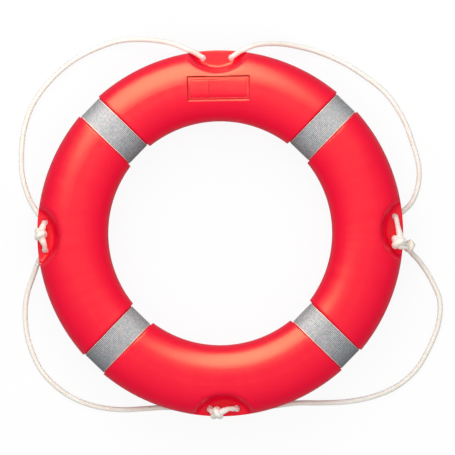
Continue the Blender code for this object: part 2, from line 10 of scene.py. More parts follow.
import bpy
import numpy as np
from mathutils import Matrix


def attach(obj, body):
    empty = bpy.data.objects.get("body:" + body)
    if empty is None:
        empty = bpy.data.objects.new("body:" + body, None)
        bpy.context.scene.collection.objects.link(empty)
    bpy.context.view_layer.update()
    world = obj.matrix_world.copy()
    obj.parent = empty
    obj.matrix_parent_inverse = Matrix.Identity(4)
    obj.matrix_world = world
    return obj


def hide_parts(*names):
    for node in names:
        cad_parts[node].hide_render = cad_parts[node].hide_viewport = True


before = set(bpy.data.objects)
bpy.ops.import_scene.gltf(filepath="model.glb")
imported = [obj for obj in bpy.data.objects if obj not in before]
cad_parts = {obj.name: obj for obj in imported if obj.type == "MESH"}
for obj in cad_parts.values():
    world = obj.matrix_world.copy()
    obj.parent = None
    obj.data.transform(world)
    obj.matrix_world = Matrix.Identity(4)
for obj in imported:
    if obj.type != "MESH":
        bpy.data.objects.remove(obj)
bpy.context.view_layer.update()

# Ring
RIM = 0.360
INNER_RADIUS = 0.220
MID_HEIGHT = 0.055
SECTION_FULLNESS = 2.3  # exponent of the section's outline
LAND_WIDTH = 0.020
SHELL_WALL = 0.0025
FOAM_INSET = SHELL_WALL + 0.0003
SECTION_RADIUS = (RIM + INNER_RADIUS) / 2
SECTION_HALF_WIDTH = (RIM - INNER_RADIUS) / 2
LAND_SHARE = LAND_WIDTH / 2 / SECTION_HALF_WIDTH
SECTION_TALL = MID_HEIGHT / (1 - LAND_SHARE**SECTION_FULLNESS) ** (1 / SECTION_FULLNESS)
SLOPE_END = 61  # degrees over the horizon, where the rows of the inner side end
SHELL_CREASE = 40  # degrees, beyond which an edge of the shell or the foam is sharp

# Rope pockets
POCKET_ANGLES = {"right": 0, "top": 90, "left": 180, "bottom": 270}
POCKET_DEPTH = 0.035
POCKET_RADIUS = 0.061
POCKET_AXIS = RIM - POCKET_DEPTH + POCKET_RADIUS
POCKET_LEAN = math.radians(12)  # of the wall, from upright
POCKET_DRAFT = math.tan(POCKET_LEAN)
POCKET_FILLET = 0.007
POCKET_LIP = 0.012  # the lip is rounded where the dome and the wall are closer than this
POCKET_ZONE = 0.070  # half the width of the straight part round a pocket
# Stretches across a pocket that its grid's columns fill evenly, and their counts on the skin and inside
POCKET_COLUMNS = ((0.003, 0.043), (0.0448, 0.0556), (0.0580, POCKET_ZONE))
POCKET_COUNTS = {True: (13, 13, 5), False: (7, 7, 3)}
BETWEEN_COUNTS = {True: 15, False: 10}  # the same from a pocket to a recess, both ends included
IN_POCKET, IN_GROOVE, BETWEEN = 0, 1, 2  # the columns' zones
WEB_HALF = 0.0025  # half of the web's thickness
WEB_EDGE = 0.0015  # radius of its rounded edge
WEB_SLACK = 0.0004  # the least flat width between the fillet and that edge
WEB_ENDS = (0.0490, 0.0540)  # across, where the web runs out into the dome
WALL_FOOT = WEB_HALF + POCKET_FILLET * (1 - math.sin(POCKET_LEAN))
HOLE_RADIUS = 0.006
HOLE_SPACING = 0.054
HOLE_INSET = 0.015  # from the rim
# A hole's rounded mouth: how much wider it is, and at what distance from the web's middle
HOLE_MOUTH = ((0.0008, 0.006), (0.0008, 0.0026), (0.0003, 0.0020), (0.0, 0.0013))

# Tape recesses and tapes
TAPE_ANGLES = {"upper_right": 45, "upper_left": 135, "lower_left": 225, "lower_right": 315}
TAPE_WIDTH = 0.050
TAPE_THICKNESS = 0.0008
TAPE_ROUNDING = 0.0002
TAPE_SLOPE_END = 86  # degrees over the horizon, where its rows reach the land
TAPE_START = SECTION_RADIUS - 0.012  # radius on the back where it starts
TAPE_LAP = 9  # rows at its end that lie over its start
TAPE_LAP_GAP = 0.0001
TAPE_BORDER = (0.0238, 0.0241)  # across, where the cells end and the smooth border starts
TO_TAPE = 45  # degrees from a pocket to the next tape
GROOVE_DEPTH = 0.005
# The recess's wall: places across, and the share of the depth that is left there
GROOVE_WALL = np.array([0.0264, 0.0267, 0.0270, 0.0273, 0.0275, 0.0278, 0.0283])
GROOVE_WALL_SHARE = np.array([1.0, 0.93, 0.60, 0.25, 0.11, 0.03, 0.0])
GROOVE_ZONE = 0.033  # half the width of the straight part round a recess
TAPE_INSET = GROOVE_DEPTH - 0.0003
# Painted shade along the foot of that wall: places across, and how dark it is there
RECESS_PAINTED_SHADE = ((0.0249, 0.0262, 0.0268, 0.0273), (0.0, 0.45, 0.45, 0.0))

# Plate
PLATE_DEPTHS = (0.0019, 0.0037)  # at its lower and its upper edge
PLATE_X = (-0.0586, 0.0620)
PLATE_Y = (0.2605, 0.3078)
PLATE_WALL = 0.0014  # half the width of the recess's slanted wall
PLATE_CREASE = 0.2634  # a dark line of painted shade along the foot of the plate's lower wall
FIELD_LINES_X = (-0.0529, -0.0158, 0.0563)  # engraved upright lines on the plate
FIELD_LINES_Y = (0.2664, 0.3013)
FIELD_LINE_DEPTH = 0.0005
FIELD_LINE_HALF = 0.0009
COLUMN_GAP = 0.0006  # a plain column this close to one of the plate's is left out
# Painted shade on the plate: darkest on the upper and left walls, which face away from the light, and in the
# crease
PLATE_PAINTED_SHADE = {"upper": 1.0, "left": 0.75, "right": 0.35, "lower": 0.25, "crease": 0.8, "lines": 0.5}
# Radii where its rows start to turn straight, are straight, start to turn back, and are arcs again
PLATE_ROWS = (0.245, 0.258, 0.311, 0.331)
PLATE_REACH = 0.064  # across, where the straight rows start to turn back
# The hollow and the foam sink behind the plate between these limits, with an edge this soft
BACKING_X = (-0.067, 0.067)
BACKING_Y = (0.2500, 0.3225)
BACKING_EDGE = 0.0005
# Radii of the front's plain rows, beside those of the plate's edges and lines
FRONT_ROWS = (0.2475, 0.251, 0.2545, 0.258, 0.2650, 0.2735, 0.280, 0.2868, 0.2935, 0.2996, 0.3042)
OUTER_ROWS = (0.3108, 0.3280, 12)  # the even ones beyond them: first, last and how many
# How many rows a face has on the inner side, evenly on top, and from there to the wall's foot
FACE_COUNTS = {"front": (13, 0, 27), "back": (13, 16, 20), "hollow": (8, 9, 9)}

# Plugs on the back: angle, head radius, stem radius
PLUGS = {"filling": (292.5, 0.013, 0.009), "vent": (112.5, 0.008, 0.0045)}
PLUG_CLEARANCE = 0.0003
PLUG_SUNK = 0.0008
PLUG_HEAD = 0.0025
PLUG_STEM = 0.011
SEAT_HEIGHT = PLUG_SUNK + PLUG_HEAD + PLUG_CLEARANCE
SEAT_TOP = 0.008  # of the hole for the stem, inside the hollow
OVERSHOOT = 0.004  # how far a cutter stands out of the back
DISH_DEPTH = 0.0010
DISH_SHARE = 0.62  # of the head's radius
PLUG_EDGE = 0.0006  # the head's rounded edge
BARBS = (0.35, 0.55, 0.75)  # shares of the stem's length

# Grab line
ROPE_RADIUS = 0.005
LYING_HEIGHT = 0.0052  # of its middle, where it lies on the floor
RING_STEP = 0.0008  # between the rings of points round the rope
ROPE_SIDES = 48
STRANDS_EACH_WAY = 4
PLAIT_LENGTH = 0.0062  # along the rope, of one crossing
BRAID_MEAN = 0.915  # of the rope's radius, half way between crowns and grooves
BRAID_RELIEF = 0.120  # of it too, from there to the crowns
STRAND_ROUND = 0.75  # height of a strand's round cross-section
STRAND_WAVE = 0.55  # height of its wave over and under others
PORT_DROP = 0.0075  # from the web's middle to where a loop meets a passage
PORT_HEIGHT = MID_HEIGHT - PORT_DROP
STUBS = (0.0, 0.004, 0.008)  # straight at a loop's ends
FRONT_FOOT = 0.001  # over the top web's middle, where the bend in front of it starts
FRONT_AIM = (29, 19)  # millimetres along and out, the way that the rope goes from there
FRONT_BEND = 0.0085
FRONT_RISE = math.radians(13)
BACK_BEND = 0.008  # behind the top web
BACK_LEVEL = MID_HEIGHT - 0.0095
KNOT_UNIT = 0.0090  # of the pocket knots
KNOT_SHARE = 1.24  # of the rope's thickness, in a knot of this unit
# A knot's turns, in units: where the line that they run round lies, their radius, from where to where
# they go (degrees), how they lean along the rope (middle, half the swing, turn of the peak), and the
# places where the rope leaves them
KNOT_LINE, KNOT_RISE = -1.27, 0.5
KNOT_TURN = 1.04
KNOT_SWEEP = (-27.5, 200.0)
KNOT_LEAN = (-0.25, 0.48, math.radians(30))
KNOT_LEAD = ((-0.42, -1.95, -0.36), (0.14, -1.40, -0.56), (0.84, -0.95, -0.58), (1.6, -0.5, -0.6))
SMALL_KNOT_SHARE = 0.75  # of that unit
SMALL_KNOT_DIP = 0.25  # how steeply the loop that leaves it goes down
SMALL_KNOT_LEAD = 0.011  # from its last point to that loop's start

# Camera and picture
IMAGE_PIXELS = 455
MM_PER_PIXEL = 1.967
RING_CENTRE_PIXEL = (220.2, 233.3)
PHOTO_TURN = 1.0  # degrees that the ring is turned in the photograph
CAMERA_DISTANCE = 14.0

# Floor and lamps
FLOOR_HALF = 40.0
WALL_HEIGHT = 6.0
OWN_WHITE_SEEN = 0.9  # share of its own white in the floor, seen directly
OWN_WHITE_IN_GLOSS = 0.15  # and in the object's gloss
LAMP_DISTANCE = 2.6
KEY_DIRECTION = (-0.19, 0.72, 0.667)


# Camera


def add_object(name, data):
    """A new object in the scene."""
    made = bpy.data.objects.new(name, data)
    bpy.context.scene.collection.objects.link(made)
    return made


def add_camera():
    """A long lens straight above, so that one pixel is MM_PER_PIXEL at the ring's middle height."""
    view = bpy.data.cameras.new("camera_above")
    view.sensor_width = 36.0
    width = IMAGE_PIXELS * MM_PER_PIXEL / 1000
    view.lens = view.sensor_width * (CAMERA_DISTANCE - MID_HEIGHT) / width
    view.clip_start = 0.1
    view.clip_end = 200.0
    camera = add_object("camera_above", view)
    off_x = (IMAGE_PIXELS / 2 - RING_CENTRE_PIXEL[0]) * MM_PER_PIXEL / 1000
    off_y = (RING_CENTRE_PIXEL[1] - IMAGE_PIXELS / 2) * MM_PER_PIXEL / 1000
    turn = math.radians(-PHOTO_TURN)
    camera.location = (
        off_x * math.cos(turn) - off_y * math.sin(turn),
        off_x * math.sin(turn) + off_y * math.cos(turn),
        CAMERA_DISTANCE,
    )
    camera.rotation_euler = (0, 0, turn)
    bpy.context.scene.camera = camera


add_camera()


# Mesh and material helpers


def linear(hex_colour):
    """An sRGB hex colour as linear numbers, with an alpha of 1."""
    channels = [int(hex_colour[k : k + 2], 16) / 255 for k in (1, 3, 5)]
    return (*[c / 12.92 if c <= 0.04045 else ((c + 0.055) / 1.055) ** 2.4 for c in channels], 1.0)


def add_node(tree, kind, inputs=None, stops=None, **settings):
    """A new shader node's outputs; its sockets are filled with values or with other nodes' outputs."""
    made = tree.nodes.new(f"ShaderNode{kind}")
    for name, value in settings.items():
        setattr(made, name, value)
    for socket, value in (inputs or {}).items():
        if isinstance(value, bpy.types.NodeSocket):
            tree.links.new(value, made.inputs[socket])
        else:
            made.inputs[socket].default_value = value
    for element, (position, colour) in zip(made.color_ramp.elements if stops else (), stops or ()):
        element.position, element.color = position, linear(colour)
    return made.outputs


def new_material(name):
    """An empty node material, and its tree."""
    made = bpy.data.materials.new(name)
    made.use_nodes = True
    made.node_tree.nodes.clear()
    return made, made.node_tree


def place_on_object(tree):
    """Where a point lies on the object, in metres."""
    return add_node(tree, "TexCoord")["Object"]


def noise(tree, where, scale, detail=2.0):
    """Smooth noise round 0.5, with so many lumps a metre."""
    return add_node(tree, "TexNoise", {"Vector": where, "Scale": scale, "Detail": detail})["Fac"]


def ramp(tree, value, *stops):
    """A colour from a value, by two stops of a position and a hex colour."""
    return add_node(tree, "ValToRGB", {"Fac": value}, stops=stops)["Color"]


def mixed_colour(tree, factor, first, second, blend="MIX"):
    """Two colours mixed, by a factor that is the second one's share."""
    inputs = {"Factor": factor, 6: first, 7: second}
    return add_node(tree, "Mix", inputs, data_type="RGBA", blend_type=blend)[2]


def maths(tree, operation, *values, kind="Math"):
    """The first output of a Math or VectorMath node."""
    return add_node(tree, kind, dict(enumerate(values)), operation=operation)[0]


def parts_of(tree, vector):
    """The X, Y and Z of a vector."""
    return add_node(tree, "SeparateXYZ", {"Vector": vector})


def ranged(tree, value, low, high, first=0.0, last=1.0):
    """A value that goes from first to last while the given one goes from low to high."""
    inputs = {"Value": value, "From Min": low, "From Max": high, "To Min": first, "To Max": last}
    return add_node(tree, "MapRange", inputs)["Result"]


def bump(tree, height, strength, distance, **below):
    """A normal that follows a height, on top of another one, Normal, if it is given."""
    inputs = {"Height": height, "Strength": strength, "Distance": distance, **below}
    return add_node(tree, "Bump", inputs)["Normal"]


def with_shader(made, inputs):
    """The material, with a Principled shader as its surface."""
    shader = add_node(made.node_tree, "BsdfPrincipled", inputs)["BSDF"]
    add_node(made.node_tree, "OutputMaterial", {"Surface": shader})
    return made


def smooth(data, crease=None):
    """Shades a mesh smooth, apart from edges sharper than a crease in degrees."""
    data.polygons.foreach_set("use_smooth", np.ones(len(data.polygons), bool))
    if crease is not None:
        data.set_sharp_from_angle(angle=math.radians(crease))


def dress(piece, node):
    """Lets a piece stand for its CAD node."""
    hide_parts(node)
    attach(piece, "root")


def put_mesh(name, points, quads, finish, uv=None, values=None, crease=None):
    """A mesh from arrays: points, four corners a face, and if given a corner UV map and point values."""
    data = bpy.data.meshes.new(name)
    data.vertices.add(len(points))
    data.vertices.foreach_set("co", np.asarray(points, np.float32).ravel())
    data.loops.add(quads.size)
    data.loops.foreach_set("vertex_index", quads.ravel().astype(np.int32))
    data.polygons.add(len(quads))
    data.polygons.foreach_set("loop_start", np.arange(0, quads.size, quads.shape[1], dtype=np.int32))
    data.polygons.foreach_set("loop_total", np.full(len(quads), quads.shape[1], np.int32))
    data.update(calc_edges=True)
    if uv is not None:
        layer = data.uv_layers.new(name="along_and_across")
        layer.data.foreach_set("uv", uv.astype(np.float32).ravel())
    for key, value in (values or {}).items():
        data.attributes.new(key, "FLOAT", "POINT").data.foreach_set("value", value.astype(np.float32))
    smooth(data, crease)
    data.materials.append(finish)
    data.validate()
    return add_object(name, data)


def grid_quads(rows, columns, closed_rows=False, closed_columns=False):
    """The faces of a grid of points that is stored row by row."""
    first = np.arange(rows if closed_rows else rows - 1)[:, None] * columns
    second = (first + columns) % (rows * columns)
    left = np.arange(columns if closed_columns else columns - 1)
    right = (left + 1) % columns
    return np.stack([first + left, first + right, second + right, second + left], axis=-1).reshape(-1, 4)


def tube_quads(rows, columns):
    """The faces of a closed tube: its grid, then at each end a fan round a middle point.

    The two middle points come after the grid's, and a fan's faces take two sides of its ring each.
    """
    count = rows * columns
    even = np.arange(0, columns, 2)
    fan = [even, even + 1, (even + 2) % columns]
    first = np.stack([*fan, np.full_like(even, count)], axis=-1)
    last = np.stack([*(count - columns + k for k in fan), np.full_like(even, count + 1)], axis=-1)
    return np.vstack([grid_quads(rows, columns, closed_columns=True), first[:, ::-1], last])


def tube_map(along, across):
    """UV rows for a tube's faces: the places along and across it, and in the fans the place along."""
    grid = np.stack(np.meshgrid(along, across, indexing="ij"), axis=-1)
    corners = [grid[:-1, :-1], grid[:-1, 1:], grid[1:, 1:], grid[1:, :-1]]
    ends = [np.tile([along[k], 0.0], (2 * len(across) - 2, 1)) for k in (0, -1)]
    return np.vstack([np.stack(corners, axis=2).reshape(-1, 2), *ends])


def circle(count):
    """So many angles, evenly round a circle."""
    return np.arange(count) * 2 * math.pi / count


def smooth_step(value, low, high):
    """0 below low, 1 above high, and the cubic 3t^2 - 2t^3 between."""
    t = np.clip((value - low) / (high - low), 0.0, 1.0)
    return t * t * (3 - 2 * t)


def unit_vector(vector):
    """The vector divided by its length."""
    return vector / np.linalg.norm(vector)


def round_edges(places, half):
    """Four grid lines at each place, which carry a small rounded step there."""
    return [v for p in places for v in (p - half, p - half / 3, p + half / 3, p + half)]


# The grab line's route


def turned_by(angle):
    """Unit vectors outwards and anticlockwise along the rim, at an angle round the ring."""
    a = math.radians(angle)
    return np.array([math.cos(a), math.sin(a), 0.0]), np.array([-math.sin(a), math.cos(a), 0.0])


UP = np.array([0.0, 0.0, 1.0])
BEFORE = -HOLE_SPACING / 2
AFTER = HOLE_SPACING / 2


def by_pocket(side, along, out, height):
    """A point by a pocket: anticlockwise along the rim, out from the rim, and over the floor."""
    outwards, sideways = turned_by(POCKET_ANGLES[side])
    return outwards * (RIM + out) + sideways * along + UP * height


def near_pocket(side, along, out, height):
    """The same in millimetres."""
    return by_pocket(side, along / 1000, out / 1000, height / 1000)


def row(point, share=1.0):
    """A row of the rope's route: a point and a share of its thickness."""
    return [*point, share]


def spots(side, places):
    """Rows of the route from places by a pocket: along, out and height in millimetres, and the share."""
    return [row(near_pocket(side, *place[:3]), place[3]) for place in places]


def smooth_path(points, per_span=24):
    """A centripetal Catmull-Rom curve through rows of x, y, z and thickness.

    In each span the point is a blend of blends of its four neighbours, with knots that are the square
    roots of the distances between them.
    """
    rows = np.array(points, float)
    rows = np.vstack([2 * rows[0] - rows[1], rows, 2 * rows[-1] - rows[-2]])
    gaps = np.sqrt(np.linalg.norm(np.diff(rows[:, :3], axis=0), axis=1))[:, None, None]
    g0, g1, g2 = gaps[:-2], gaps[1:-1], gaps[2:]
    p0, p1, p2, p3 = (rows[k : len(rows) - 3 + k, None, :] for k in range(4))
    t = np.linspace(0, 1, per_span, endpoint=False)[None, :, None] * g1
    a1 = p0 + (p1 - p0) * (t + g0) / g0
    a2 = p1 + (p2 - p1) * t / g1
    a3 = p2 + (p3 - p2) * (t - g1) / g2
    b1 = a1 + (a2 - a1) * (t + g0) / (g0 + g1)
    b2 = a2 + (a3 - a2) * t / (g1 + g2)
    curve = b1 + (b2 - b1) * t / g1
    return np.vstack([curve.reshape(-1, rows.shape[1]), rows[-2]])


def distance_along(path):
    """How far along a path each of its points lies."""
    return np.concatenate([[0.0], np.cumsum(np.linalg.norm(np.diff(path[:, :3], axis=0), axis=1))])


def even_rows(path, step):
    """The path's rows again, at even distances along it."""
    run = distance_along(path)
    stations = np.linspace(0, run[-1], round(run[-1] / step) + 1)
    return np.column_stack([np.interp(stations, run, path[:, k]) for k in range(path.shape[1])])


def front_run(along):
    """The rope out of a top hole and over the front: a bend short of a right angle, then straight."""
    hand = math.copysign(1, along)
    ahead, out = FRONT_AIM
    outwards = unit_vector(near_pocket("top", hand * ahead, out, 0) - near_pocket("top", 0, 0, 0))
    hole = by_pocket("top", along, -HOLE_INSET, MID_HEIGHT + FRONT_FOOT)
    turns = np.linspace(0, math.pi / 2 - FRONT_RISE, 5)
    points = [hole + FRONT_BEND * (outwards * (1 - math.cos(a)) + UP * math.sin(a)) for a in turns]
    heading = outwards * math.cos(FRONT_RISE) + UP * math.sin(FRONT_RISE)
    return points + [points[-1] + heading * step for step in STUBS[1:]], heading


def top_passage():
    """Behind the top web: down through one hole, across, and up through the other."""
    behind = []
    for turn in np.linspace(0, math.pi / 2, 5)[1:]:
        along, up = BACK_BEND * (1 - math.cos(turn)), BACK_BEND * (1 - math.sin(turn))
        behind.append(by_pocket("top", AFTER - along, -HOLE_INSET, BACK_LEVEL + up))
    middle = by_pocket("top", 0, -HOLE_INSET, BACK_LEVEL)
    other_half = [p * [-1, 1, 1] for p in reversed(behind)]
    points = front_run(AFTER)[0][::-1] + behind + [middle] + other_half + front_run(BEFORE)[0]
    return [row(p) for p in points]


def knot_half(unit):
    """Half of an overhand knot, from near its heart outwards, with x along the rope and z up.

    The rope makes one turn round a line beside it, through KNOT_SWEEP degrees, leaning along x with the
    cosine of the turn, and then leaves along x.
    """
    turns = np.radians(np.linspace(*KNOT_SWEEP, 6)[1:])
    middle, swing, peak = KNOT_LEAN
    lean = middle + swing * np.cos(turns - peak)
    beside, up = KNOT_LINE + KNOT_TURN * np.cos(turns), KNOT_RISE + KNOT_TURN * np.sin(turns)
    return np.vstack([np.column_stack([lean, beside, up]), KNOT_LEAD]) * unit


def knot(middle, along, out, up, unit, first=0, last=0, fullness=1.0, width=1.0):
    """The rows of an overhand knot: one half, and the same half turned half way round its y axis.

    A width below 1 pulls the turns together, towards the line that they run round.
    """
    half = knot_half(unit)
    half[:, 1] = KNOT_LINE * unit + (half[:, 1] - KNOT_LINE * unit) * width
    other = half[::-1] * [-1, 1, -1]
    points = np.vstack([other, half])[first : len(half) * 2 - last]
    placed = middle + points[:, :1] * along - points[:, 1:2] * out + points[:, 2:] * up
    share = KNOT_SHARE * unit / KNOT_UNIT * fullness
    return [row(p, share) for p in placed]


def rising(side, along):
    """The rope straight up through a hole from its port."""
    drops = (1.0, 0.5, 0.0, -0.4)
    return [row(by_pocket(side, along, -HOLE_INSET, MID_HEIGHT - PORT_DROP * drop)) for drop in drops]


def pocket_knot(side, middle, hand, lean=1, first=0, last=0, fullness=1.0, width=0.65):
    """A knot by a pocket's web, from its lower lead to its higher one."""
    outwards, sideways = turned_by(POCKET_ANGLES[side])
    place = near_pocket(side, *middle)
    return knot(place, sideways * hand, outwards * lean, UP, KNOT_UNIT, first, last, fullness, width)[::-1]


def knotted_passage(side, before, middle, after, last=0):
    """Up through one hole of a pocket, a knot in front of its web, and down through the other hole."""
    rows = rising(side, BEFORE) + spots(side, before) + pocket_knot(side, middle, hand=-1, last=last)
    return rows + spots(side, after) + rising(side, AFTER)[::-1]


def left_passage():
    """One knot, near the middle of the left web."""
    after = [(19.0, -15, 76, 0.9), (25.8, -15, 66, 0.98)]
    return knotted_passage("left", [(-26.2, -15, 63.5, 0.95)], (-4.5, -18.8, 76.2), after)


def bottom_passage():
    """One knot, left of the bottom web's middle."""
    before = [(-26.8, -14.4, 63, 0.95), (-24.8, -12.6, 69, 0.9)]
    after = [(10.5, -15, 79, 0.9), (20.0, -15, 71.5, 1), (25.8, -15, 64, 1)]
    return knotted_passage("bottom", before, (-12.8, -18.7, 76.2), after, last=1)


def small_knot():
    """The small knot beyond the rim, in line with the loop that leaves it, and the way it runs."""
    outwards, sideways = turned_by(POCKET_ANGLES["right"])
    along = unit_vector(outwards * 0.53 - sideways * 0.62 - UP * 0.57)
    across = unit_vector(outwards * 0.76 + sideways * 0.65)
    up = unit_vector(np.cross(along, across))
    middle = near_pocket("right", -36.5, 4.5, 47)
    rows = knot(middle, along, across, up, KNOT_UNIT * SMALL_KNOT_SHARE, first=1, fullness=1.12)
    return rows, along


def right_port():
    """Where the lower right loop leaves the small knot, and its direction there."""
    rows, along = small_knot()
    heading = unit_vector(along - UP * SMALL_KNOT_DIP)
    return np.array(rows[-1][:3]) + heading * SMALL_KNOT_LEAD, heading


def right_passage():
    """Up through one hole, a knot at the rim, a small knot beyond it, and out to the next loop."""
    rows = rising("right", AFTER)
    rows += spots("right", [(26.3, -14.9, 63, 1), (20.5, -13.4, 68, 1), (7.0, -10.6, 69.5, 0.95)])
    turned = {"hand": 1, "lean": -1, "first": 1, "last": 1}
    rows += pocket_knot("right", (-23.3, 2.3, 76.2), **turned, fullness=1.14, width=0.82)
    rows += spots("right", [(-33.2, -0.8, 80.5, 0.8), (-34.6, 5.6, 74.5, 0.75), (-33.8, 8.6, 65.5, 0.7)])
    rows += small_knot()[0]
    end, heading = right_port()
    return rows + [row(end - heading * 0.005, 0.95), row(end - heading * 0.0025), row(end)]


# Free loops: angle round the ring (degrees), reach beyond the rim and, off the floor, height (mm)
LOOP_ROUTES = {
    "upper_left": (
        (98.9, 5.5, 70), (102.8, 23.5, 61), (108.0, 42.0, 39), (111.8, 54.5, 22), (116.0, 67.0, 10),
        (121.0, 76.5), (128.7, 87.0), (136.5, 91.0), (144.3, 89.0), (151.0, 78.3), (157.0, 63.0),
        (162.7, 46.8), (168.4, 24.5, 6.0), (172.3, 4.5, 11.5),
    ),
    "upper_right": (
        (81.7, 3.5, 70), (79.0, 14.5, 63), (75.6, 23.5, 49), (71.3, 31.7, 31), (66.7, 38.5, 16),
        (61.5, 45.5, 6.5), (54.0, 54.2), (46.5, 61.2), (38.9, 68.2), (31.0, 66.0), (24.0, 59.2),
        (17.0, 52.6), (11.5, 38.0), (8.0, 21.5, 6.0), (6.0, 4.5, 11.5),
    ),
    "lower_left": (
        (187.9, 3.0, 11.5), (192.0, 19.0, 6.0), (197.0, 41.5), (203.0, 61.2), (209.5, 76.2), (217.0, 85.0),
        (225.0, 79.7), (232.0, 64.6), (239.0, 41.8), (245.0, 19.3), (251.0, 1.5), (257.5, -7.5, 6.0),
        (262.3, -11.0, 11.5),
    ),
    "lower_right": (
        (351.6, 32.0, 18), (350.3, 41.5, 11.5), (348.4, 55.0, 6.8), (345.9, 71.0), (342.0, 93.0),
        (336.2, 106.5), (330.0, 110.5), (324.0, 111.0), (318.0, 101.0), (312.0, 81.0), (306.0, 56.0),
        (300.0, 30.5), (293.0, 7.0), (285.0, -4.5), (281.0, -8.5, 6.5), (277.5, -11.0, 12.5),
    ),
}


def front_end(along):
    """Where a loop meets the top passage over the front, and its direction there."""
    points, heading = front_run(along)
    return points[-1], heading


def hole_end(side, along):
    """The same under a hole of another pocket."""
    return by_pocket(side, along, -HOLE_INSET, PORT_HEIGHT), -UP


LOOP_ENDS = {
    "upper_left": (front_end(AFTER), hole_end("left", BEFORE)),
    "upper_right": (front_end(BEFORE), hole_end("right", AFTER)),
    "lower_left": (hole_end("left", AFTER), hole_end("bottom", BEFORE)),
    "lower_right": (right_port(), hole_end("bottom", AFTER)),
}


def free_loop(corner):
    """A loop from the end of one passage to the start of the next."""
    (start, away), (end, back) = LOOP_ENDS[corner]
    points = [start + away * step for step in STUBS]
    for angle, reach, *height in LOOP_ROUTES[corner]:
        up = height[0] / 1000 if height else LYING_HEIGHT
        points.append(turned_by(angle)[0] * (RIM + reach / 1000) + UP * up)
    points += [end + back * step for step in reversed(STUBS)]
    return [row(p) for p in points]


# The one rope, in order: name, route, and whether the route runs the other way round the ring
STRETCHES = (
    ("line_through_top_pocket", top_passage(), False),
    ("grab_line_upper_right", free_loop("upper_right"), False),
    ("knots_at_right_pocket", right_passage(), False),
    ("grab_line_lower_right", free_loop("lower_right"), False),
    ("knot_at_bottom_pocket", bottom_passage(), True),
    ("grab_line_lower_left", free_loop("lower_left"), True),
    ("knot_at_left_pocket", left_passage(), True),
    ("grab_line_upper_left", free_loop("upper_left"), True),
)


def carried_sides(centres):
    """A side vector at each point of a closed path, carried round it without twist.

    Each step takes out of the last vector what lies along the new tangent. What is left over after one
    round is spread evenly over the whole path, so that the end meets the start.
    """
    tangents = np.roll(centres, -1, axis=0) - np.roll(centres, 1, axis=0)
    tangents /= np.linalg.norm(tangents, axis=1)[:, None]
    side = unit_vector(np.cross(tangents[0], UP))
    sides = []
    for tangent in [*tangents, tangents[0]]:
        side = side - tangent * (side @ tangent)
        side = side / math.sqrt(side @ side)
        sides.append(side)
    first, last = sides[0], sides[-1]
    left_over = math.atan2(np.cross(last, first) @ tangents[0], last @ first)
    sides = np.array(sides[:-1])
    ups = np.cross(tangents, sides)
    turn = left_over * np.arange(len(centres)) / len(centres)
    cos, sin = np.cos(turn)[:, None], np.sin(turn)[:, None]
    return sides * cos + ups * sin, ups * cos - sides * sin


def braid(along, around):
    """How high the braid's surface stands, from -1 in its grooves to 1 on its crowns.

    Two families of strands wind round the rope, one each way. With a and b the two winding numbers,
    a strand's height is the round of its cross-section, the square root of 1 - (2 frac(a) - 1)^2, plus
    a wave of period 4 in b that takes it over two strands and under two. The surface is the higher of
    the two families.
    """
    turns = STRANDS_EACH_WAY * around / (2 * math.pi)
    a, b = turns + along / PLAIT_LENGTH, turns - along / PLAIT_LENGTH
    heights = []
    for own, other, shift in ((a, b, 1.0), (b, a, 3.0)):
        strand = np.floor(own)
        across = 2 * (own - strand) - 1
        wave = np.cos(math.pi / 2 * (other + strand - shift))
        heights.append(STRAND_ROUND * np.sqrt(np.clip(1 - across**2, 0, 1)) + STRAND_WAVE * wave)
    return np.maximum(*heights) / (STRAND_ROUND + STRAND_WAVE)


def rope_piece(node, rows, sides, ups, run, finish):
    """A stretch of rope: rings of points round its rows, raised by the braid, with a flat cap at each end."""
    around = circle(ROPE_SIDES)
    height = braid(run[:, None], around)
    radius = ROPE_RADIUS * rows[:, 3:4] * (BRAID_MEAN + BRAID_RELIEF * height)
    ring = sides[:, None, :] * np.cos(around)[:, None] + ups[:, None, :] * np.sin(around)[:, None]
    points = (rows[:, None, :3] + ring * radius[:, :, None]).reshape(-1, 3)
    points = np.vstack([points, rows[[0, -1], :3]])
    groove = {"braid_height": np.concatenate([height.ravel(), [0.0, 0.0]])}
    uv = tube_map(run, np.arange(ROPE_SIDES + 1) / ROPE_SIDES)
    piece = put_mesh(f"rope_{node}", points, tube_quads(len(rows), ROPE_SIDES), finish, uv, groove)
    dress(piece, node)
    return piece


def rope_material():
    """Braided polyester or polypropylene rope: dull cream yarns, soft sheen, and painted shade between the
    plaits.
    """
    made, tree = new_material("cream_braided_polyester")
    where = place_on_object(tree)
    height = add_node(tree, "Attribute", attribute_name="braid_height")["Fac"]
    # Painted shade: the yarns' colour darkens towards the grooves between the strands
    shade = ramp(tree, height, (0.0, "#d3cdbf"), (0.55, "#fdf9f3"))
    stains = ramp(tree, noise(tree, where, 38.0, 3.0), (0.35, "#f9f6ec"), (0.7, "#ffffff"))
    # Yarn fibres: a grain of about 1 mm stands for them, because real ones are too fine to show
    fibres = noise(tree, where, 900.0)
    return with_shader(made, {
        "Base Color": mixed_colour(tree, 1.0, shade, stains, blend="MULTIPLY"),
        "Roughness": 0.82,
        "Sheen Weight": 1.0,
        "Sheen Roughness": 0.5,
        "Normal": bump(tree, fibres, 0.5, 0.0003),
    })


